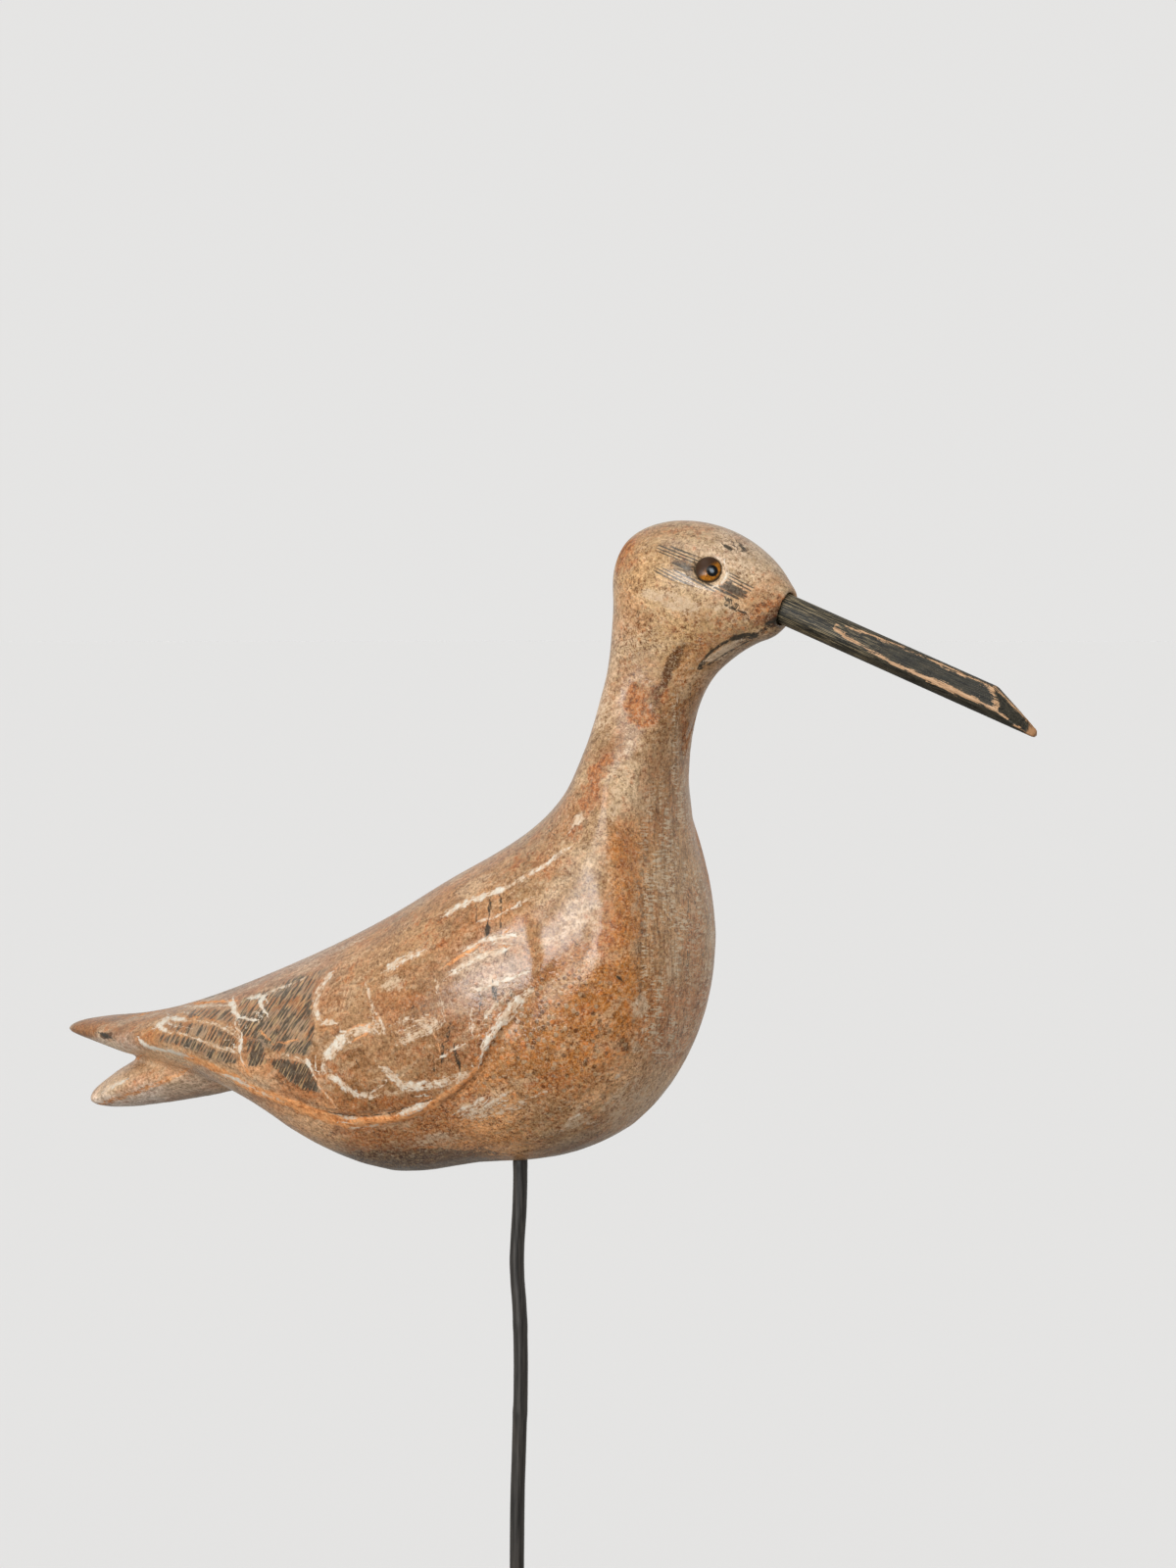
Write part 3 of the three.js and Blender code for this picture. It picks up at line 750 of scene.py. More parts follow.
def from_stroke(pixels, path):
    """Signed distance of each point from a stroke, and how far along it the nearest place is."""
    path = np.asarray(path, float)
    best = np.full(len(pixels), 1e9)
    side = np.zeros(len(pixels))
    along = np.zeros(len(pixels))
    gone = 0.0
    for a, b in zip(path[:-1], path[1:]):
        step = b - a
        length = max(np.hypot(*step), 1e-6)
        rel = pixels - a
        t = np.clip((rel @ step) / length**2, 0, 1)
        off = rel - t[:, None] * step
        distance = np.hypot(off[:, 0], off[:, 1])
        closer = distance < best
        cross = step[0] * rel[:, 1] - step[1] * rel[:, 0]
        best = np.where(closer, distance, best)
        side = np.where(closer, np.where(cross < 0, -1.0, 1.0), side)
        along = np.where(closer, gone + t * length, along)
        gone += length
    return best * side, along


def stroke_layer(pixels, strokes):
    """For the nearest stroke: offset from its middle, half width, opacity and place along it."""
    shown_within, looked_for_within, far_off = 6.0, 25.0, 30.0
    nearest = np.full(len(pixels), 1e9)
    layer = np.tile([far_off, 1.0, 0.0, 0.0], (len(pixels), 1))
    for half, opacity, path in strokes:
        signed, along = from_stroke(pixels, path)
        excess = np.abs(signed) - half
        take = (excess < nearest) & (excess < looked_for_within)
        nearest = np.where(take, excess, nearest)
        shown = np.where(excess < shown_within, opacity, 0.0)
        values = np.column_stack([signed, np.full(len(pixels), half), shown, along])
        layer[take] = values[take]
    return layer


def in_patch(pixels, x, y, half_width, half_height, turn=0.0):
    """1 in the middle of an oval patch, falling softly to 0 outside it."""
    angle = math.radians(turn)
    dx, dy = pixels[:, 0] - x, pixels[:, 1] - y
    u = (dx * math.cos(angle) + dy * math.sin(angle)) / half_width
    v = (-dx * math.sin(angle) + dy * math.cos(angle)) / half_height
    outer, softness = 1.35, 0.7
    return soft_step((outer - np.hypot(u, v)) / softness)


def outside_corners(pixels, corners):
    """Distance of each point from a zone given by its corners, below 0 inside it."""
    corners = np.asarray(corners, float)
    inside = np.zeros(len(pixels), bool)
    for a, b in zip(corners, np.roll(corners, -1, 0)):
        crosses = (a[1] > pixels[:, 1]) != (b[1] > pixels[:, 1])
        rise = b[1] - a[1] if abs(b[1] - a[1]) > 1e-9 else 1e-9
        at = a[0] + (pixels[:, 1] - a[1]) * (b[0] - a[0]) / rise
        inside ^= crosses & (pixels[:, 0] < at)
    signed, _ = from_stroke(pixels, np.vstack([corners, corners[:1]]))
    return np.where(inside, -np.abs(signed), np.abs(signed))


def hatching(pixels, uneven):
    """For the nearest hatched zone: place across and along its hairs, how dark, and how straight."""
    nearest = np.full(len(pixels), 1e9)
    hatch = np.zeros((len(pixels), 4))
    x, y = (pixels * METRES_PER_PIXEL * 1000).T
    for corners, turn, dark, change, ruled in HATCHED:
        angle = math.radians(turn)
        edge = outside_corners(uneven, corners)
        across = x * math.sin(angle) + y * math.cos(angle)
        along = (x * math.cos(angle) - y * math.sin(angle)) * change
        shown = soft_step((3.0 - edge) / 6.0) * dark
        take = edge < nearest
        nearest = np.where(take, edge, nearest)
        hatch[take] = np.column_stack([across, along, shown, np.full(len(pixels), ruled)])[take]
    return hatch


def ground_colours(pixels):
    weights = np.zeros(len(pixels))
    colours = np.zeros((len(pixels), 3))
    for name, places in GROUND.items():
        for x, y, reach in places:
            away = (pixels[:, 0] - x) ** 2 + (pixels[:, 1] - y) ** 2
            w = np.exp(-away / (1.1 * reach) ** 2) + 1e-12
            weights += w
            colours += w[:, None] * to_linear(PAINTS[name])
    return np.column_stack([colours / weights[:, None], np.ones(len(pixels))])


def stain_amounts(pixels):
    columns = []
    for stains_and_painted_light in (RUST_STAINS, UMBER_STAINS_AND_BELLY_SHADE, PALE_STAINS_AND_HIGHLIGHTS):
        amount = np.zeros(len(pixels))
        for *place, strength in stains_and_painted_light:
            amount = np.maximum(amount, strength * in_patch(pixels, *place))
        columns.append(amount)
    return np.column_stack(columns)


def fleck_amounts(pixels):
    flecks = np.zeros((len(pixels), 3))
    weights = np.full(len(pixels), 1e-3)
    for x, y, half_width, half_height, *amounts in FLECKED:
        w = np.exp(-((pixels[:, 0] - x) / half_width) ** 2 - ((pixels[:, 1] - y) / half_height) ** 2)
        weights += w
        flecks += w[:, None] * np.array(amounts)
    return flecks / weights[:, None]


def store_paint(piece):
    """Works out, for each point of the carving, which paint lies there."""
    points = points_of(piece)
    pixels = photo_pixels(points)
    # Waves of so many metres, which shift the paint by so many pixels
    uneven = pixels + wandering(points, 0.006, 5.0) + wandering(points, 0.0022, 2.5)
    slightly = pixels + wandering(points, 0.003, 1.2)
    keep_numbers(piece, "ground", ground_colours(uneven))
    keep_numbers(piece, "stains_and_painted_light", stain_amounts(uneven))
    keep_numbers(piece, "white_strokes_and_highlights", stroke_layer(slightly, WHITE_STROKES_AND_HIGHLIGHTS))
    keep_numbers(piece, "orange_strokes", stroke_layer(slightly, ORANGE_STROKES))
    keep_numbers(piece, "dark_strokes_and_shadows", stroke_layer(pixels, DARK_STROKES_AND_SHADOWS))
    millimetres = np.column_stack([pixels * METRES_PER_PIXEL, points[:, 1]]) * 1000
    keep_numbers(piece, "paint_place", millimetres)
    keep_numbers(piece, "hatching", hatching(pixels, slightly))
    keep_numbers(piece, "flecks", fleck_amounts(uneven))
    keep_numbers(piece, "weave", np.max([in_patch(uneven, *zone) for zone in WOVEN], axis=0))


class PaintedWood(Finish):
    """Worn paint under satin varnish, with painted highlights, reflections and shade among it, from the
    numbers that store_paint keeps.
    """

    # Strokes: stored numbers, paint, how ragged their edges are and how dry the brush was
    STROKES = [
        ("dark_strokes_and_shadows", "bone black", 0.25, 0.8),
        # the wing edge's orange is partly painted light
        ("orange_strokes", "wing edge", 0.7, 0.6),
        ("white_strokes_and_highlights", "white lead", 0.9, 1.0),
    ]

    def __init__(self, settings):
        super().__init__("worn painted wood with painted light", Specular_IOR_Level=0.5)
        self.fine = self.noise(980, 4.0, 0.85)
        self.other_fine = self.noise(820, 3.0, 0.75, shift=(3.1, 1.7, 5.3))
        self.grain = self.noise(430, 4.0, 0.7)
        self.other_grain = self.noise(390, 4.0, 0.7, shift=(7.3, 2.9, 1.1))
        self.medium = self.noise(150, 4.0, 0.6)
        self.broad = self.noise(38, 3.0, 0.55)
        self.slanted = self.placed(self.coordinates, turn=(0, 0.42, 0))
        self.brushed = self.stretched((70, 420, 420), 4.0, 0.65, self.slanted)
        # umber also carries painted shade on the belly's bottom; pale carries painted highlights and
        # reflections as well as scraped paint
        self.rust, self.umber, self.pale = self.split(self.stored("stains_and_painted_light"))
        self.dark_flecks, self.light_flecks, self.granules = self.split(self.stored("flecks"))
        self.colour = self.stored("ground", "Color")
        self.mottle()
        self.stain()
        self.scatter_granules()
        self.fleck()
        self.weave()
        self.hatch()
        self.masks = {name: self.brush(name, *values) for name, *values in self.STROKES}
        self.varnish(settings)

    def cover(self, amount, tint):
        """Lays a paint over what is there already."""
        self.colour = self.mix(amount, self.colour, paint(tint) if isinstance(tint, str) else tint)

    def blend(self, amount, low, high, first, second):
        """Two paints, from one to the other where a noise rises."""
        return self.mix(self.ramp(amount, low, high), paint(first), paint(second))

    def varied(self, colour, amount, low, high):
        """A colour with darker and lighter places, the dark ones a little redder."""
        tone = self.add("ShaderNodeCombineColor", {
            "Red": self.ramp(amount, 0.3, 0.7, low, high),
            "Green": self.ramp(amount, 0.3, 0.7, low**1.14, high),
            "Blue": self.ramp(amount, 0.3, 0.7, low**1.32, high),
        }).outputs[0]
        return self.mix(1.0, colour, tone, "MULTIPLY")

    def vary(self, *tones):
        for amount, low, high in tones:
            self.colour = self.varied(self.colour, amount, low, high)

    def mottle(self):
        """Cloudy, brushed and grainy tones of the ground."""
        self.vary((self.broad, 0.92, 1.08), (self.brushed, 0.82, 1.17), (self.medium, 0.84, 1.14))
        clouds = self.stretched((45, 90, 90), 6.0, 0.72, self.slanted)
        other_clouds = self.stretched((50, 110, 110), 6.0, 0.72, self.slanted, (4.2, 8.8, 3.7))
        self.cover(self.ramp(clouds, 0.5, 0.6, 0.0, 0.3), "rust")
        self.cover(self.ramp(other_clouds, 0.52, 0.62, 0.0, 0.4), "cream")
        self.cover(self.ramp(other_clouds, 0.46, 0.36, 0.0, 0.5), "wing rust")
        self.vary((self.grain, 0.79, 1.18), (self.fine, 0.5, 1.54))

    def stain(self):
        """Scraped pale places with painted highlights and reflections, rust, and umber with painted shade
        on the belly's bottom, all with grainy edges.
        """
        # pale also lays painted highlights and painted reflections
        pale = self.plus(
            self.pale, self.centred(self.other_grain, 1.2), self.centred(self.brushed, 1.5),
            self.centred(self.fine, 1.8),
        )
        self.cover(self.ramp(pale, 0.25, 0.7, 0.0, 0.8), self.blend(self.grain, 0.4, 0.6, "peach", "cream"))
        rust = self.plus(self.rust, self.centred(self.medium, 1.8), self.centred(self.grain, 3.2))
        rust_tint = self.blend(self.other_fine, 0.38, 0.56, "deep rust", "rust")
        self.cover(self.ramp(rust, 0.12, 1.0, 0.0, 0.9), rust_tint)
        # umber also lays the painted shade along the belly's bottom
        umber = self.plus(self.umber, self.centred(self.other_fine, 1.6), self.centred(self.medium, 0.6))
        self.cover(self.ramp(umber, 0.26, 0.6, 0.0, 0.9), "umber")

    def scatter_granules(self):
        """Small round specks of three paints."""
        cells = self.add("ShaderNodeTexVoronoi", {
            "Vector": self.coordinates, "Scale": 620.0, "Randomness": 1.0,
        }).outputs
        self.spots = self.times(self.ramp(cells["Distance"], 0.5, 0.32), self.ramp(self.granules, 0.1, 0.9))
        tints = (("orange edge", 0.72), ("umber", 0.64), ("breast tan", 0.7))
        for chance, (tint, least) in zip(self.split(cells["Color"]), tints):
            self.cover(self.times(self.spots, self.ramp(chance, least, least + 0.06, 0.0, 0.8)), tint)

    def squiggle(self, scale, shift=None):
        """Thin wandering lines, 0 where a noise passes its middle value."""
        return self.math("ABSOLUTE", self.centred(self.noise(scale, 2.0, 0.7, twist=0.5, shift=shift), 2.0))

    def fleck(self):
        """Light and dark specks and squiggles, the dark ones in clumps."""
        lines = self.ramp(self.squiggle(860, (5.7, 0.9, 2.3)), 0.07, 0.02)
        light = self.math("MAXIMUM", self.ramp(self.other_fine, 0.55, 0.61), lines)
        light = self.times(light, self.light_flecks, 0.74)
        self.cover(light, self.blend(self.grain, 0.45, 0.6, "straw", "cream"))
        clumps = self.ramp(self.noise(170, shift=(1.3, 6.1, 9.7)), 0.36, 0.6, 0.35, 1.25)
        lines = self.ramp(self.squiggle(800), 0.06, 0.015)
        dark = self.math("MAXIMUM", self.ramp(self.fine, 0.45, 0.39), lines)
        dark = self.times(dark, clumps, self.dark_flecks, 0.86)
        self.cover(dark, self.blend(self.other_grain, 0.4, 0.6, "umber", "deep rust"))

    def weave(self):
        """Broken cream threads and darker upright lines, as of a cloth, on the breast's front."""
        weave = self.stored("weave", "Fac")
        place = self.stored("paint_place")
        dashes = self.ramp(self.stretched((0.3, 1.6, 0.3), 2.0, 0.6, place), 0.52, 0.58)
        columns = self.ramp(self.stretched((0.5, 0.05, 0.05), 1.0, 0.5, place), 0.4, 0.52, 0.15, 1.0)
        self.cover(self.times(dashes, columns, weave, 0.95), "cream")
        threads = self.ramp(self.stretched((1.5, 0.1, 0.3), 2.0, 0.6, place), 0.52, 0.36)
        self.cover(self.times(threads, self.times(weave, 0.34)), "umber")

    def hatch(self):
        """Black hairs over a combed ground, and straight ruled lines by the eye."""
        across, along, dark, straight = self.stored_four("hatching")
        place = self.joined(across, self.times(along, 0.1), 0.0)
        hairs = self.noise(1.5, 2.0, 0.6, place)
        fine_hairs = self.noise(2.5, 1.0, 0.6, place)
        wide_hairs = self.noise(0.4, 2.0, 0.5, place)
        free = self.plus(self.times(hairs, 0.66), self.times(wide_hairs, 0.34))
        wave = self.math("SINE", self.plus(self.times(across, 6.4), self.centred(wide_hairs, 5.0)))
        ruled = self.plus(self.times(wave, 0.1), 0.5, self.centred(hairs, 0.8))
        lines = self.add("ShaderNodeMix", {0: straight, 2: free, 3: ruled}, data_type="FLOAT").outputs[0]
        limit = self.ramp(dark, 0.0, 1.0, 0.60, 0.38)
        black = self.times(
            self.ramp(self.minus(lines, limit), -0.02, 0.02), self.ramp(dark, 0.1, 0.35, 0.0, 0.84),
        )
        combed = self.times(self.ramp(dark, 0.1, 0.5, 0.0, 0.75), self.ramp(straight, 0.95, 0.7))
        self.cover(combed, self.blend(self.medium, 0.4, 0.6, "comb brown", "wing rust"))
        self.cover(black, self.blend(self.fine, 0.4, 0.65, "bone black", "slate"))
        streaked = self.times(self.ramp(fine_hairs, 0.55, 0.66, 0.0, 0.75), combed)
        self.cover(streaked, self.blend(dark, 0.86, 0.95, "straw", "wing rust"))
        self.hair_relief = self.times(hairs, self.ramp(dark, 0.05, 0.3))

    def stroke_tint(self, name, paint_name, opacity):
        if name == "white_strokes_and_highlights":
            body = self.ramp(self.plus(opacity, self.centred(self.other_grain, 2.4)), 0.6, 1.15)
            return self.varied(self.mix(body, paint("peach"), paint(paint_name)), self.fine, 0.82, 1.06)
        if name == "orange_strokes":
            browner = self.ramp(self.other_grain, 0.44, 0.58, 0.0, 0.85)
            tint = self.mix(browner, paint(paint_name), paint("belly brown"))
            tint = self.mix(self.ramp(self.grain, 0.5, 0.4, 0.0, 0.75), tint, paint("rust"))
            return self.varied(tint, self.fine, 0.6, 1.2)
        return paint(paint_name)

    def brush(self, name, paint_name, rag, dryness):
        """Strokes with ragged edges, broken up along the brush's way. Returns where they lie."""
        across, half, opacity, along = self.stored_four(name)
        ragged = self.plus(self.centred(self.grain, 8.0), self.centred(self.fine, 8.0))
        offset = self.plus(self.math("ABSOLUTE", across), self.times(ragged, rag))
        solid = self.ramp(self.minus(offset, half), 1.2, -1.0)
        lanes = self.joined(self.times(across, 0.9), self.times(along, 0.12), half)
        dry = self.plus(
            self.centred(self.noise(1.0, 3.0, 0.6, lanes), 2.4), self.centred(self.other_fine, 2.2),
            self.centred(self.other_grain, 1.6),
        )
        bulge = self.math("POWER", self.math("DIVIDE", self.math("MAXIMUM", offset, 0.0), half), 2.0)
        cover = self.minus(self.plus(opacity, self.times(dry, dryness)), self.times(bulge, 0.25))
        mask = self.times(solid, self.ramp(cover, 0.3, 0.75))
        self.cover(self.times(mask, 0.92), self.stroke_tint(name, paint_name, opacity))
        return mask

    def varnish(self, settings):
        """Satin over the ground, duller over strokes and rust, and the paint's fine relief."""
        white = self.masks["white_strokes_and_highlights"]
        rough = self.plus(
            self.ramp(self.medium, 0.3, 0.7, settings.gloss, settings.gloss + 0.12),
            self.times(white, 0.12),
            self.times(self.masks["orange_strokes"], 0.45),
            self.times(self.ramp(self.rust, 0.3, 0.75), 0.5),
        )
        self.use(Base_Color=self.colour, Roughness=rough)
        self.raise_by(
            (self.broad, 0.0012, 0.05), (self.medium, 0.0004, 0.22), (self.grain, 0.00008, 0.5),
            (self.spots, 0.00012, 0.4), (white, 0.00006, 0.5), (self.hair_relief, 0.00015, 0.5),
        )


# What a user would change


class CarvingSettings(bpy.types.PropertyGroup):
    grid: bpy.props.FloatProperty(
        name="Surface grid", description="Spacing of the carving's points", default=0.00093,
        min=0.0006, max=0.003, unit="LENGTH", precision=5,
    )
    edge_depth: bpy.props.FloatProperty(
        name="Wing edge depth", description="Depth of the cut under the wings", default=0.0007,
        min=0.0, max=0.002, unit="LENGTH", precision=5,
    )
    breast_fill: bpy.props.FloatProperty(
        name="Breast corners", description="How much fuller the breast's two front corners are",
        default=0.0022, min=0.0, max=0.003, unit="LENGTH", precision=5,
    )
    gloss: bpy.props.FloatProperty(
        name="Varnish roughness", description="Roughness of the varnish where it is smoothest",
        default=0.2, min=0.0, max=1.0, subtype="FACTOR",
    )


class BillSettings(bpy.types.PropertyGroup):
    radius: bpy.props.FloatProperty(
        name="Radius", description="Radius of the dowel", default=0.00425, unit="LENGTH", precision=5,
    )
    flat_depth: bpy.props.FloatProperty(
        name="Flat depth", description="How deep the flats are cut, as a share of the radius",
        default=0.22, min=0.0, max=0.5, subtype="FACTOR",
    )
    tip_length: bpy.props.FloatProperty(
        name="Tip cut", description="Length of the slanted cut at the tip", default=0.015,
        unit="LENGTH", precision=5,
    )
    tip_thickness: bpy.props.FloatProperty(
        name="Tip thickness", description="What the slanted cut leaves at the tip", default=0.0022,
        unit="LENGTH", precision=5,
    )
    facet_length: bpy.props.FloatProperty(
        name="Facet length", description="Length of the facets on both sides of the tip",
        default=0.0165, unit="LENGTH", precision=5,
    )
    facet_lean: bpy.props.FloatProperty(
        name="Facet lean", description="How far the facets lean out from the top, in degrees",
        default=46.0,
    )


class EyeSettings(bpy.types.PropertyGroup):
    pupil: bpy.props.FloatProperty(
        name="Pupil radius", description="Radius of the black pupil", default=0.00156, unit="LENGTH",
        precision=5,
    )
    pupil_shift: bpy.props.FloatVectorProperty(
        name="Pupil shift", description="How far the pupil looks forward and down", subtype="XYZ",
        size=3, unit="LENGTH", precision=5, default=(0.0012, 0.0, -0.0006),
    )
    iris: bpy.props.FloatVectorProperty(
        name="Iris", description="Colour of the iris", subtype="COLOR", size=4, min=0, max=1,
        default=(0.46, 0.17, 0.016, 1.0),
    )


class StickSettings(bpy.types.PropertyGroup):
    radius: bpy.props.FloatProperty(
        name="Radius", description="Radius of the stick", default=0.00225, unit="LENGTH", precision=5,
    )


class BaseSettings(bpy.types.PropertyGroup):
    stain: bpy.props.FloatVectorProperty(
        name="Stain", description="Colour of the base's stain", subtype="COLOR", size=4, min=0, max=1,
        default=(0.066, 0.038, 0.023, 1.0),
    )


class StageSettings(bpy.types.PropertyGroup):
    backdrop: bpy.props.FloatVectorProperty(
        name="Backdrop", description="Colour of the surroundings that the camera sees",
        subtype="COLOR", size=4, min=0, max=1, default=(0.785, 0.78, 0.772, 1.0),
    )
    floor_tone: bpy.props.FloatVectorProperty(
        name="Floor", description="Colour of the floor", subtype="COLOR", size=4, min=0, max=1,
        default=(0.776, 0.7755, 0.7728, 1.0),
    )
    floor_light: bpy.props.FloatProperty(
        name="Floor light", description="Strength of the even light on the floor", default=2.0,
    )
    room_light: bpy.props.FloatProperty(
        name="Room light", description="Strength of the light from all around", default=0.38,
    )
    dark_side: bpy.props.FloatProperty(
        name="Dark side", description="How much of the backdrop the side behind the camera mirrors",
        default=0.2, min=0.0, max=1.0, subtype="FACTOR",
    )
    lamp_power: bpy.props.FloatProperty(
        name="Lamp power", description="Power of the large soft lamp", default=10.7, unit="POWER",
    )


class DecoyOperator(bpy.types.Operator):
    """Shared by the operators that build a piece"""
    bl_options = {"REGISTER", "UNDO"}


class DECOY_OT_body(DecoyOperator):
    """Carve and paint the bird's body"""
    bl_idname = "decoy.body"
    bl_label = "Carved body"

    # The bill's hole, and the reach of each hole's rim
    BILL_SEAT = LEG_HOLE + np.array([0.0833, 0.0, 0.156])
    EYE_RIM, BILL_RIM, LEG_RIM = 0.0052, 0.0062, 0.004

    def execute(self, context):
        settings = context.scene.decoy_carving
        only(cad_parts["bird_body"])
        bpy.ops.object.duplicate()
        body = context.view_layer.objects.active
        for key in list(body.keys()):
            del body[key]
        edit(body)
        bpy.ops.mesh.remove_doubles(threshold=1e-6)
        leave()
        modify(body, "REMESH", mode="VOXEL", voxel_size=settings.grid, adaptivity=0.0)
        self.soften(body)
        self.fill_breast_corners(body, settings.breast_fill)
        modify(body, "SMOOTH", factor=0.5, iterations=6)
        self.cut_wing_edge(body, settings.edge_depth)
        store_paint(body)
        finished(body, "carved_body", "bird_body", PaintedWood(settings).material)
        return {"FINISHED"}

    def soften(self, body):
        """Sands the surface, but keeps the rims of the holes."""
        points = points_of(body)
        rims = [(np.mean(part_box(eye), axis=0), self.EYE_RIM) for eye in ("right_eye", "left_eye")]
        rims += [(self.BILL_SEAT, self.BILL_RIM), (LEG_HOLE, self.LEG_RIM)]
        keep = np.ones(len(points))
        for middle, reach in rims:
            distance = np.linalg.norm(points - middle, axis=1)
            keep = np.minimum(keep, np.clip((distance - reach) / 0.0025, 0, 1))
        quarters = np.round(keep * 4).astype(int)
        sand(body, "sanded", [(level / 4, quarters == level) for level in range(1, 5)], 14)

    def cut_wing_edge(self, body, depth):
        """Grooves and lips along the wings."""
        points = points_of(body)
        pixels = photo_pixels(points)
        shift = np.zeros(len(points))
        for path, tails, under_at, (before, behind), crest_at, ridge, deep in WING_RELIEF:
            signed, along = from_stroke(pixels, path)
            left = sum(math.dist(a, b) for a, b in zip(path, path[1:])) - along
            beside = (along > 0.01) & (left > 0.01)
            fade = soft_step(np.clip(along / tails[0], 0, 1) * np.clip(left / tails[1], 0, 1) * beside)
            reach = np.where(signed < under_at, before, behind)
            under = np.exp(-(((signed - under_at) / reach) ** 2))
            proud = np.exp(-(((signed - crest_at) / 3.4) ** 2)) * ridge
            shift += (proud - under) * depth * fade * deep
        move_points(body, points + normals_of(body) * shift[:, None])

    def fill_breast_corners(self, body, amount):
        """Squares the breast and neck a little between their sides and the flat front."""
        # Heights above the leg's hole are in millimetres, turns from the side in degrees.
        points = points_of(body)
        normals = normals_of(body)
        turn = np.degrees(np.arctan2(normals[:, 0], np.abs(normals[:, 1])))
        height = (points[:, 2] - LEG_HOLE[2]) * 1000
        zone = soft_step(np.clip((height - 40) / 30, 0, 1) * np.clip((140 - height) / 25, 0, 1))
        corner = np.exp(-(((turn - 38) / 20) ** 2))
        move_points(body, points + normals * (corner * zone * amount)[:, None])


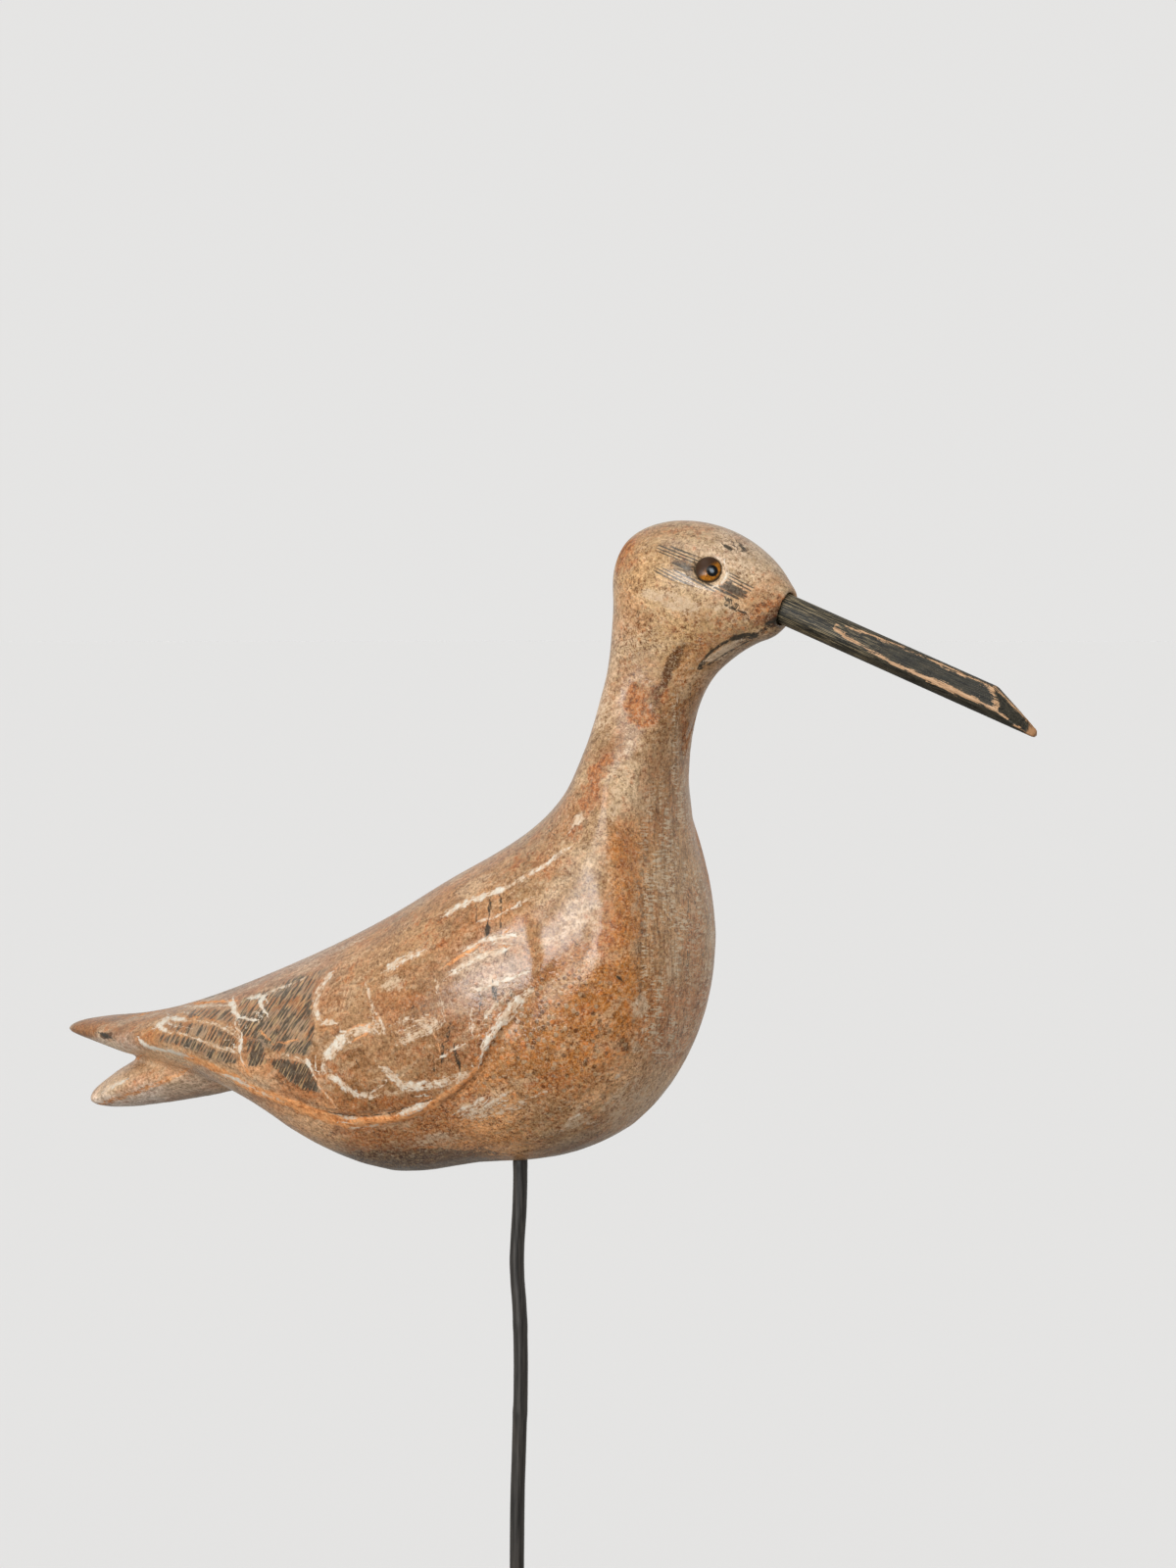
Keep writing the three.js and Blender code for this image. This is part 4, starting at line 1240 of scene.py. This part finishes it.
class DECOY_OT_bill(DecoyOperator):
    """Whittle the bill from a dowel"""
    bl_idname = "decoy.bill"
    bl_label = "Bill"

    DROOP = math.radians(22)
    SHOWING = 0.079
    # Each flat's way up from the side, where it starts and how soon it is at full depth,
    # as shares of the bill's showing length
    FLAT_RISE = math.radians(28)
    FLAT_START, FLAT_RUN = 0.2, 0.25

    def execute(self, context):
        settings = context.scene.decoy_bill
        seat, way, length = self.seat()
        hidden = length - self.SHOWING
        deselect()
        bpy.ops.mesh.primitive_cylinder_add(
            vertices=64, radius=settings.radius, depth=length, location=(length / 2, 0, 0),
            rotation=(0, math.pi / 2, 0),
        )
        bill = context.view_layer.objects.active
        bake_place(bill)
        for side in (-1, 1):
            self.cut_flat(bill, settings, side, hidden + self.FLAT_START * self.SHOWING, length)
        for normal, place in self.tip_cuts(settings, length):
            edit(bill)
            bpy.ops.mesh.bisect(plane_co=place, plane_no=normal, use_fill=True, clear_outer=True)
            leave()
        modify(bill, "REMESH", mode="VOXEL", voxel_size=0.0003, adaptivity=0.0)
        modify(bill, "SMOOTH", factor=0.5, iterations=3)
        self.round_tip(bill, length)
        self.store_wear(bill, settings, hidden, length)
        bake_place(bill, turned_to(seat, (1, 0, 0), way))
        finished(bill, "whittled_bill", "bill", blackened_bill())
        return {"FINISHED"}

    def seat(self):
        """The hidden end of the bill's axis, its direction and its length, from the solid."""
        points = points_of(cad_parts["bill"])
        way = np.array([math.cos(self.DROOP), 0, -math.sin(self.DROOP)])
        up = np.array([math.sin(self.DROOP), 0, math.cos(self.DROOP)])
        along = points @ way
        height = points[along < along.min() + 1e-5] @ up
        end = way * along.min() + up * ((height.min() + height.max()) / 2)
        return end, way, float(along.max() - along.min())

    def cut_flat(self, bill, settings, side, start, length):
        """Cuts one long flat: a ramp that runs out into a plane parallel to the axis."""
        radius = settings.radius
        full = start + self.FLAT_RUN * self.SHOWING
        deepest = radius * (1 - settings.flat_depth)
        deselect()
        bpy.ops.mesh.primitive_cube_add(size=1, location=(0, 0, 0))
        cutter = bpy.context.view_layer.objects.active
        edit(cutter)
        bpy.ops.transform.resize(value=(length, 4 * radius, 2 * radius))
        bpy.ops.transform.translate(value=(start + length / 2 - 0.001, 0, radius + deepest))
        bpy.ops.mesh.bisect(plane_co=(full, 0, 0), plane_no=(1, 0, 0), use_fill=False)
        leave()
        for vertex in cutter.data.vertices:
            if vertex.co.x < full - 1e-5 and vertex.co.z < radius:
                vertex.co.z = radius * 1.01
        cutter.data.transform(Matrix.Rotation(side * (math.pi / 2 - self.FLAT_RISE), 4, "X"))
        modify(bill, "BOOLEAN", operation="DIFFERENCE", object=cutter, solver="EXACT")
        bpy.data.objects.remove(cutter)

    def tip_cuts(self, settings, length):
        """The planes that shape the point: the slanted top, and a facet on each side below it."""
        radius = settings.radius
        drop = (2 * radius - settings.tip_thickness) / settings.tip_length
        lean = math.radians(settings.facet_lean)
        facet = (radius + (radius - settings.tip_thickness) * math.cos(lean)) / settings.facet_length
        cuts = [((drop, 0, 1), (length - settings.tip_length, 0, radius))]
        for side in (-1, 1):
            across, up = side * math.sin(lean), math.cos(lean)
            place = (length - settings.facet_length, across * radius, up * radius)
            cuts.append(((facet, across, up), place))
        return cuts

    def round_tip(self, bill, length):
        """Rubs down the edges of the slanted cut, most of all at the point."""
        left = length - points_of(bill)[:, 0]
        sand(bill, "rubbed", [
            (0.4, (left < 0.018) & (left >= 0.006)), (0.7, (left < 0.006) & (left >= 0.003)),
            (1.0, left < 0.003),
        ], 22)

    def store_wear(self, bill, settings, hidden, length):
        """Distance from the nearest worn edge, and the place along and round the dowel."""
        points = points_of(bill)
        radius = settings.radius
        along = points[:, 0]
        shown = (along - hidden) / self.SHOWING
        beside = np.abs(points[:, 1])
        angle = np.arctan2(points[:, 2], beside)
        t = np.clip((shown - self.FLAT_START) / self.FLAT_RUN, 0, 1)
        half = np.arccos(np.clip(1 - settings.flat_depth * t, -1, 1))
        upper = radius * np.abs(angle - self.FLAT_RISE - half) + 0.00012
        lower = radius * np.abs(angle - self.FLAT_RISE + half)
        lower -= 0.0006 * np.clip(shown - 0.3, 0, 0.5)
        edges = np.where(t > 0.01, np.minimum(upper, lower), 0.004)
        outward = beside * math.cos(self.FLAT_RISE) + points[:, 2] * math.sin(self.FLAT_RISE)
        sheets = [
            radius - np.hypot(points[:, 1], points[:, 2]),
            radius * (1 - settings.flat_depth) - outward,
        ]
        for normal, place in self.tip_cuts(settings, length):
            sheets.append((points - place) @ normal / np.linalg.norm(normal))
        from_edge = np.sort(np.abs(np.column_stack(sheets)), axis=1)[:, 1] * 1.4
        tip = np.clip((along - length + 0.019) / 0.003, 0, 1)
        edges = edges * (1 - tip) + from_edge * tip
        keep_numbers(bill, "wear", np.column_stack([edges, along - hidden, length - along]) * 1000)
        keep_numbers(bill, "round", np.column_stack([along, radius * angle, points[:, 1]]) * 1000)


def blackened_bill():
    """Charcoal paint worn through to golden wood on the whittled edges."""
    f = Finish("blackened bill", Specular_IOR_Level=0.32)
    from_edge, from_face, from_tip = f.split(f.stored("wear"))
    place = f.stored("round")
    fibres = f.stretched((0.25, 3.0, 3.0), 3.0, 0.6, place)
    patchy = f.stretched((0.16, 0.9, 0.9), 3.0, 0.6, place)
    fine = f.noise(1400, 2.0, 0.6)
    black = f.mix(f.ramp(fibres, 0.35, 0.7), (0.008, 0.0076, 0.0056, 1), (0.046, 0.043, 0.03, 1))
    black = f.mix(f.ramp(fine, 0.6, 0.75, 0.0, 0.5), black, (0.12, 0.1, 0.075, 1))
    scratches = f.ramp(f.stretched((0.12, 5.0, 5.0), 3.0, 0.6, place), 0.55, 0.61)
    scratched = f.times(scratches, f.ramp(from_face, 40.0, 16.0, 0.15, 0.9))
    black = f.mix(scratched, black, (0.36, 0.28, 0.16, 1))
    bare = f.mix(f.ramp(fibres, 0.35, 0.7), (0.58, 0.36, 0.2, 1), (0.36, 0.19, 0.09, 1))
    bare = f.mix(f.ramp(from_tip, 8.0, 2.0, 0.0, 0.6), bare, (0.3, 0.13, 0.045, 1))
    edge = f.minus(from_edge, f.centred(patchy, 2.4, 0.44))
    edge = f.plus(edge, f.centred(fibres, 2.2), f.centred(fine, 0.8))
    point = f.ramp(f.plus(from_tip, f.times(patchy, 3.0)), 4.2, 2.8)
    worn = f.math("MAXIMUM", f.ramp(edge, 0.34, 0.06), point)
    f.use(Base_Color=f.mix(worn, black, bare), Roughness=f.ramp(fibres, 0.3, 0.7, 0.4, 0.62))
    f.use(Coat_Weight=0.06, Coat_Roughness=0.3)
    f.raise_by((fibres, 0.00018, 0.7), (fine, 0.00005, 0.5))
    return f.material


class DECOY_OT_eyes(DecoyOperator):
    """Set the two glass eyes"""
    bl_idname = "decoy.eyes"
    bl_label = "Glass eyes"

    # How much of the socket's size the glass fills
    FILL = 0.985

    def execute(self, context):
        settings = context.scene.decoy_eyes
        material = amber_glass(settings)
        for node, outside in (("right_eye", -1), ("left_eye", 1)):
            back, looks, radius, depth = self.socket(node, outside)
            eye = self.dome(radius, depth)
            bake_place(eye, turned_to(back, (0, 0, 1), looks))
            self.store_iris(eye, settings, back, looks)
            finished(eye, node.replace("eye", "glass_eye"), node, material)
            bpy.ops.object.shade_smooth_by_angle(angle=math.radians(35))
        return {"FINISHED"}

    def socket(self, node, outside):
        """The middle of the eye's back, the way it looks, its radius and its depth."""
        points = points_of(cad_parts[node])
        middle = points.mean(0)
        looks = np.linalg.svd(points - middle)[2][2]
        if looks[1] * outside < 0:
            looks = -looks
        looks = np.round(looks, 5)
        looks /= np.linalg.norm(looks)
        reach = (points - middle) @ looks
        back = middle + looks * reach.min()
        radius = np.linalg.norm(from_axis(points - back, looks), axis=1).max() * self.FILL
        return back, looks, round(float(radius), 6), round(float(reach.max() - reach.min()), 6)

    def dome(self, radius, depth):
        """A slice of a sphere on a short drum."""
        half = depth * self.FILL / 2
        bulge = (radius**2 + half**2) / (2 * half)
        deselect()
        bpy.ops.mesh.primitive_uv_sphere_add(segments=64, ring_count=96, radius=bulge)
        eye = bpy.context.view_layer.objects.active
        edit(eye)
        bpy.ops.mesh.bisect(
            plane_co=(0, 0, bulge - half), plane_no=(0, 0, -1), use_fill=True, clear_outer=True,
            threshold=1e-6,
        )
        bpy.ops.mesh.select_all(action="SELECT")
        bpy.ops.transform.translate(value=(0, 0, 2 * half - bulge))
        leave()
        edit_chosen(eye, "FACE", lambda face: face.normal.z < -0.99)
        bpy.ops.mesh.extrude_region_move(TRANSFORM_OT_translate={"value": (0, 0, -half)})
        leave()
        return eye

    def store_iris(self, eye, settings, back, looks):
        """Distances from the eye's axis and from the pupil's middle, and the way to the light."""
        from_back = points_of(eye) - back
        spread = from_axis(from_back, looks)
        away = np.linalg.norm(spread, axis=1)
        from_pupil = np.linalg.norm(spread - np.array(settings.pupil_shift), axis=1)
        light = from_back[:, 0] - from_back[:, 2]
        keep_numbers(eye, "iris_place", np.column_stack([away, from_pupil, light]) * 1000)


def from_axis(points, axis):
    return points - np.outer(points @ axis, axis)


def amber_glass(settings):
    """A black pupil with a painted pale reflection in its middle, and an amber iris under glass that has
    gone dull at the back.
    """
    f = Finish("amber glass eye", IOR=1.5, Specular_IOR_Level=0.3)
    away, from_pupil, light = f.split(f.stored("iris_place"))
    threads = f.noise(1500, 3.0, 0.7)
    deep = (0.045, 0.017, 0.004, 1)
    # The iris is painted dark at the upper left and bright amber at the lower right: painted shade and
    # painted light.
    iris = f.mix(f.ramp(light, -0.9, 2.2), deep, tuple(settings.iris))
    iris = f.mix(f.ramp(threads, 0.4, 0.65, 0.0, 0.6), iris, deep)
    iris = f.mix(f.ramp(away, 3.0, 3.55), iris, (0.05, 0.03, 0.015, 1))
    radius = settings.pupil * 1000
    pupil = f.ramp(from_pupil, radius + 0.25, radius - 0.15)
    # a painted pale reflection in the pupil's middle
    painted_catchlight = f.ramp(f.plus(from_pupil, f.times(threads, 0.9)), radius * 0.86, radius * 0.5)
    black = f.mix(painted_catchlight, (0.006, 0.007, 0.008, 1), (0.24, 0.28, 0.32, 1))
    f.use(Base_Color=f.mix(pupil, iris, black), Roughness=f.ramp(light, -0.6, 1.4, 0.42, 0.14))
    return f.material


class DECOY_OT_stick(DecoyOperator):
    """Bend the stick that the bird stands on"""
    bl_idname = "decoy.stick"
    bl_label = "Leg stick"

    SHOWING = 0.176
    # Depth under the belly over the stick's showing length, and the sideways bend in millimetres
    BENDS = [
        (-0.112, 1.26), (0.0, 1.26), (0.04, 1.26), (0.0875, 0.95), (0.135, 0.3), (0.17, 0.0),
        (0.207, 0.3), (0.23, 0.77), (0.255, 1.08), (0.28, 1.26), (0.335, 1.4), (0.4, 1.26),
        (0.43, 1.0), (0.49, 0.63), (0.54, 0.3), (0.59, 0.14), (0.66, 0.0), (1.0, 0.0), (1.084, 0.0),
    ]
    # Swellings: depth share, how much thicker, and how long
    KNOTS = [
        (0.17, 0.06, 0.02), (0.275, 0.07, 0.012), (0.42, 0.08, 0.01), (0.7, 0.06, 0.012),
        (0.012, 0.05, 0.008),
    ]

    def execute(self, context):
        settings = context.scene.decoy_stick
        low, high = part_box("leg_stick")
        depths, sideways = self.bent_line(420, 8)
        deselect()
        bpy.ops.curve.primitive_bezier_curve_add(location=(0, 0, 0))
        stick = context.view_layer.objects.active
        stick.data.splines.clear()
        spline = stick.data.splines.new("POLY")
        spline.points.add(len(depths) - 1)
        for point, share, side in zip(spline.points, depths, sideways):
            z = min(max(LEG_HOLE[2] - share * self.SHOWING, low[2] + 0.0002), high[2] - 0.0002)
            point.co = (side / 1000, 0.0, z, 1.0)
            swell = sum(k * math.exp(-(((share - s) / w) ** 2)) for s, k, w in self.KNOTS)
            point.radius = 0.985 + swell * 0.5
        stick.data.bevel_depth = settings.radius
        stick.data.bevel_resolution = 7
        stick.data.use_fill_caps = True
        only(stick)
        bpy.ops.object.convert(target="MESH")
        stick = context.view_layer.objects.active
        self.roughen(stick, low, high)
        finished(stick, "bent_stick", "leg_stick", dark_stick())
        return {"FINISHED"}

    def bent_line(self, steps, reach):
        """The bends at even depths, rounded over a reach of so many steps to both sides."""
        depths = np.linspace(self.BENDS[0][0], self.BENDS[-1][0], steps)
        sideways = np.interp(depths, *zip(*self.BENDS))
        weights = np.hanning(2 * reach + 1)
        padded = np.pad(sideways, reach, mode="edge")
        return depths, np.convolve(padded, weights / weights.sum(), mode="valid")

    def roughen(self, stick, low, high):
        """Small lengthwise dents, kept inside the solid's size."""
        points = points_of(stick)
        dents = np.array([noise.noise(Vector((x * 420, y * 420, z * 40))) for x, y, z in points])
        points = points + normals_of(stick) * ((dents - 1) * 0.00012)[:, None]
        points[:, 1] = np.clip(points[:, 1], low[1], high[1])
        move_points(stick, points)


def dark_stick():
    """Dark brown wood with fine lengthwise grain and a rubbed sheen."""
    f = Finish("dark stick")
    grain = f.stretched((1500, 1500, 60), 3.0, 0.6)
    broad = f.stretched((120, 120, 30), 3.0, 0.55)
    colour = f.mix(f.ramp(grain, 0.35, 0.7), (0.021, 0.0195, 0.018, 1), (0.061, 0.054, 0.047, 1))
    colour = f.mix(f.ramp(broad, 0.5, 0.75, 0.0, 0.5), colour, (0.08, 0.06, 0.045, 1))
    f.use(Base_Color=colour, Roughness=f.ramp(grain, 0.3, 0.7, 0.36, 0.52))
    f.use(Coat_Weight=0.15, Coat_Roughness=0.3)
    f.raise_by((grain, 0.00012, 0.7))
    return f.material


class DECOY_OT_base(DecoyOperator):
    """Turn the round base"""
    bl_idname = "decoy.base"
    bl_label = "Base block"

    def execute(self, context):
        low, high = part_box("base_block")
        radius = (high[0] - low[0]) / 2 - 0.00005
        height = high[2] - low[2]
        deselect()
        bpy.ops.mesh.primitive_cylinder_add(
            vertices=160, radius=radius, depth=height, location=(0, 0, height / 2 + low[2]),
        )
        block = context.view_layer.objects.active
        bake_place(block)
        points = block.data.vertices
        top = high[2] - 1e-5
        edit_chosen(block, "EDGE", lambda edge: min(points[i].co.z for i in edge.vertices) > top)
        bpy.ops.mesh.bevel(offset=0.0035, segments=8, profile=0.5)
        leave()
        edit_chosen(block, "FACE", lambda face: abs(face.normal.z) > 0.9999)
        for share in (0.35, 0.45, 0.5, 0.6, 0.7):
            bpy.ops.mesh.inset(thickness=radius * share * 0.25)
        leave()
        material = stained_base(context.scene.decoy_base)
        finished(block, "turned_base", "base_block", material)
        bpy.ops.object.shade_smooth_by_angle(angle=math.radians(35))
        return {"FINISHED"}


def stained_base(settings):
    """Dark-stained, waxed wood with the grain running across the block."""
    f = Finish("stained base", Specular_IOR_Level=0.3)
    rings = f.noise(1.0, 2.0, 0.5, f.placed(f.coordinates, scale=(6, 90, 60)), 1.2)
    pores = f.stretched((70, 1600, 1600), 3.0, 0.65)
    rub = f.noise(45, 3.0, 0.6)
    stain = tuple(settings.stain)
    darker = tuple(c * 0.35 for c in stain[:3]) + (1,)
    lighter = tuple(min(c * 2.1, 1) for c in stain[:3]) + (1,)
    colour = f.mix(f.ramp(rings, 0.35, 0.65), darker, stain)
    colour = f.mix(f.ramp(pores, 0.56, 0.7, 0.0, 0.8), colour, darker)
    colour = f.mix(f.ramp(rub, 0.55, 0.75, 0.0, 0.5), colour, lighter)
    f.use(Base_Color=colour, Roughness=f.ramp(rub, 0.35, 0.7, 0.6, 0.75))
    f.raise_by((pores, 0.0001, 0.6))
    return f.material


class DECOY_OT_stage(DecoyOperator):
    """Set the floor, the soft lamps and the camera"""
    bl_idname = "decoy.stage"
    bl_label = "Stage"

    LAMP_DISTANCE = 1.3
    LAMPS_LOOK_AT = Vector(LEG_HOLE) + Vector((0, 0, 0.07))
    # Softboxes: angle round from the bird's side, angle up, size, share of the power, tilt
    LAMPS = {
        "window light": (-6, 8, (0.94, 0.4), 1.0, -10),
        "high window light": (12, 33, (1.0, 0.34), 0.36, 0),
        "ceiling light": (-20, 66, (0.9, 0.7), 0.28, 0),
        "fill light": (100, 12, (1.0, 0.9), 0.42, 0),
    }

    def execute(self, context):
        settings = context.scene.decoy_stage
        context.scene.view_settings.view_transform = "Standard"
        floor = self.lay_floor(settings)
        context.scene.world = self.pale_room(settings)
        lamps = [self.hang_lamp(name, settings.lamp_power, *place) for name, place in self.LAMPS.items()]
        lamps[-1].visible_glossy = False
        self.light_floor(floor, lamps, settings)
        self.set_camera(context.scene)
        return {"FINISHED"}

    def lay_floor(self, settings):
        deselect()
        bpy.ops.mesh.primitive_circle_add(
            vertices=128, radius=30.0, fill_type="NGON", location=(0, 0, -0.0002),
        )
        floor = bpy.context.view_layer.objects.active
        floor.name = "floor"
        bake_place(floor)
        floor.visible_diffuse = False
        floor.visible_glossy = False
        f = Finish("pale floor", Roughness=1.0, Specular_IOR_Level=0.0)
        cloth = f.noise(7, 3.0, 0.5)
        pale = (*settings.floor_tone[:3], 1)
        f.use(Base_Color=f.mix(f.ramp(cloth, 0.3, 0.7, 0.0, 0.05), pale, (0.76, 0.76, 0.76, 1)))
        floor.data.materials.append(f.material)
        return floor

    def pale_room(self, settings):
        """A pale room, dimmer from below, behind an even backdrop that the varnish mirrors."""
        world = bpy.data.worlds.new("pale room")
        world.use_nodes = True
        w = Nodes(world.node_tree)
        direction = w.add("ShaderNodeTexCoord").outputs["Generated"]
        height = w.split(direction)["Z"]
        full = settings.room_light
        room = w.tree.nodes["Background"]
        w.put(room.inputs["Color"], (1, 0.985, 0.965, 1))
        w.put(room.inputs["Strength"], w.ramp(height, -0.7, 0.7, full * 0.68, full, "LINEAR"))
        backdrop = w.add("ShaderNodeBackground", {"Color": tuple(settings.backdrop)})
        behind = w.add("ShaderNodeVectorMath", {0: direction, 1: CAMERA_BACK}, operation="DOT_PRODUCT")
        dimmed = w.ramp(behind.outputs["Value"], -0.6, 0.4, 0.8, settings.dark_side, "LINEAR")
        lower = w.ramp(height, -0.5, 0.1, 0.35, 1.0, "LINEAR")
        mirrored = w.add("ShaderNodeBackground", {
            "Color": (0.785, 0.75, 0.7, 1.0), "Strength": w.times(dimmed, lower),
        })
        rays = w.add("ShaderNodeLightPath").outputs
        seen = room
        for kind, shown in (("Is Glossy Ray", mirrored), ("Is Camera Ray", backdrop)):
            seen = w.add("ShaderNodeMixShader", {0: rays[kind], 1: seen.outputs[0], 2: shown.outputs[0]})
        w.put(w.tree.nodes["World Output"].inputs["Surface"], seen.outputs[0])
        return world

    def hang_lamp(self, name, full_power, azimuth, height, size, share, tilt):
        """A rectangular softbox that faces the bird, placed by its angles from the bird's side."""
        azimuth, height = math.radians(azimuth), math.radians(height)
        away = Vector((
            math.sin(azimuth) * math.cos(height), -math.cos(azimuth) * math.cos(height), math.sin(height),
        ))
        turn = (-away).to_track_quat("-Z", "Y") @ Quaternion((0, 0, 1), math.radians(tilt))
        deselect()
        bpy.ops.object.light_add(
            type="AREA", location=self.LAMPS_LOOK_AT + away * self.LAMP_DISTANCE,
            rotation=turn.to_euler(),
        )
        lamp = bpy.context.view_layer.objects.active
        lamp.name = name
        lamp.data.shape = "RECTANGLE"
        lamp.data.size, lamp.data.size_y = size
        lamp.data.energy = full_power * share
        return lamp

    def light_floor(self, floor, lamps, settings):
        """An even light for the floor alone, so that it meets the backdrop without a line."""
        deselect()
        bpy.ops.object.light_add(type="SUN", location=(0, 0, 2))
        sun = bpy.context.view_layer.objects.active
        sun.name = "floor light"
        sun.data.energy = settings.floor_light
        sun.data.angle = math.radians(70)
        floor_only = bpy.data.collections.new("floor only")
        floor_only.objects.link(floor)
        sun.light_linking.receiver_collection = floor_only
        others = bpy.data.collections.new("not the floor")
        others.objects.link(floor)
        others.collection_objects[0].light_linking.link_state = "EXCLUDE"
        for lamp in lamps:
            lamp.light_linking.receiver_collection = others

    def set_camera(self, scene):
        deselect()
        turn = Matrix((CAMERA_RIGHT, CAMERA_UP, CAMERA_BACK)).transposed()
        bpy.ops.object.camera_add(location=CAMERA_PLACE, rotation=turn.to_euler())
        camera = bpy.context.view_layer.objects.active
        camera.name = "photograph"
        camera.data.sensor_width = 36
        camera.data.lens = FOCAL_PIXELS / max(FRAME_SIZE) * 36
        camera.data.clip_end = 100
        scene.camera = camera


# The name of each group of settings, the group, and the operator that uses it
PIECES = [
    ("decoy_carving", CarvingSettings, DECOY_OT_body),
    ("decoy_bill", BillSettings, DECOY_OT_bill),
    ("decoy_eyes", EyeSettings, DECOY_OT_eyes),
    ("decoy_stick", StickSettings, DECOY_OT_stick),
    ("decoy_base", BaseSettings, DECOY_OT_base),
    ("decoy_stage", StageSettings, DECOY_OT_stage),
]


class DECOY_PT_panel(bpy.types.Panel):
    """The decoy's pieces and their sizes"""
    bl_idname = "DECOY_PT_panel"
    bl_label = "Shorebird decoy"
    bl_space_type = "VIEW_3D"
    bl_region_type = "UI"
    bl_category = "Decoy"

    def draw(self, context):
        for name, group, operator in PIECES:
            box = self.layout.box()
            box.operator(operator.bl_idname)
            for setting in group.__annotations__:
                box.prop(getattr(context.scene, name), setting)


def register():
    for name, group, operator in PIECES:
        bpy.utils.register_class(group)
        bpy.utils.register_class(operator)
        setattr(bpy.types.Scene, name, bpy.props.PointerProperty(type=group))
    bpy.utils.register_class(DECOY_PT_panel)


def unregister():
    bpy.utils.unregister_class(DECOY_PT_panel)
    for name, group, operator in reversed(PIECES):
        delattr(bpy.types.Scene, name)
        bpy.utils.unregister_class(operator)
        bpy.utils.unregister_class(group)


def main():
    register()
    bpy.ops.decoy.stage()
    bpy.ops.decoy.body()
    bpy.ops.decoy.bill()
    bpy.ops.decoy.eyes()
    bpy.ops.decoy.stick()
    bpy.ops.decoy.base()


if __name__ == "__main__":
    main()
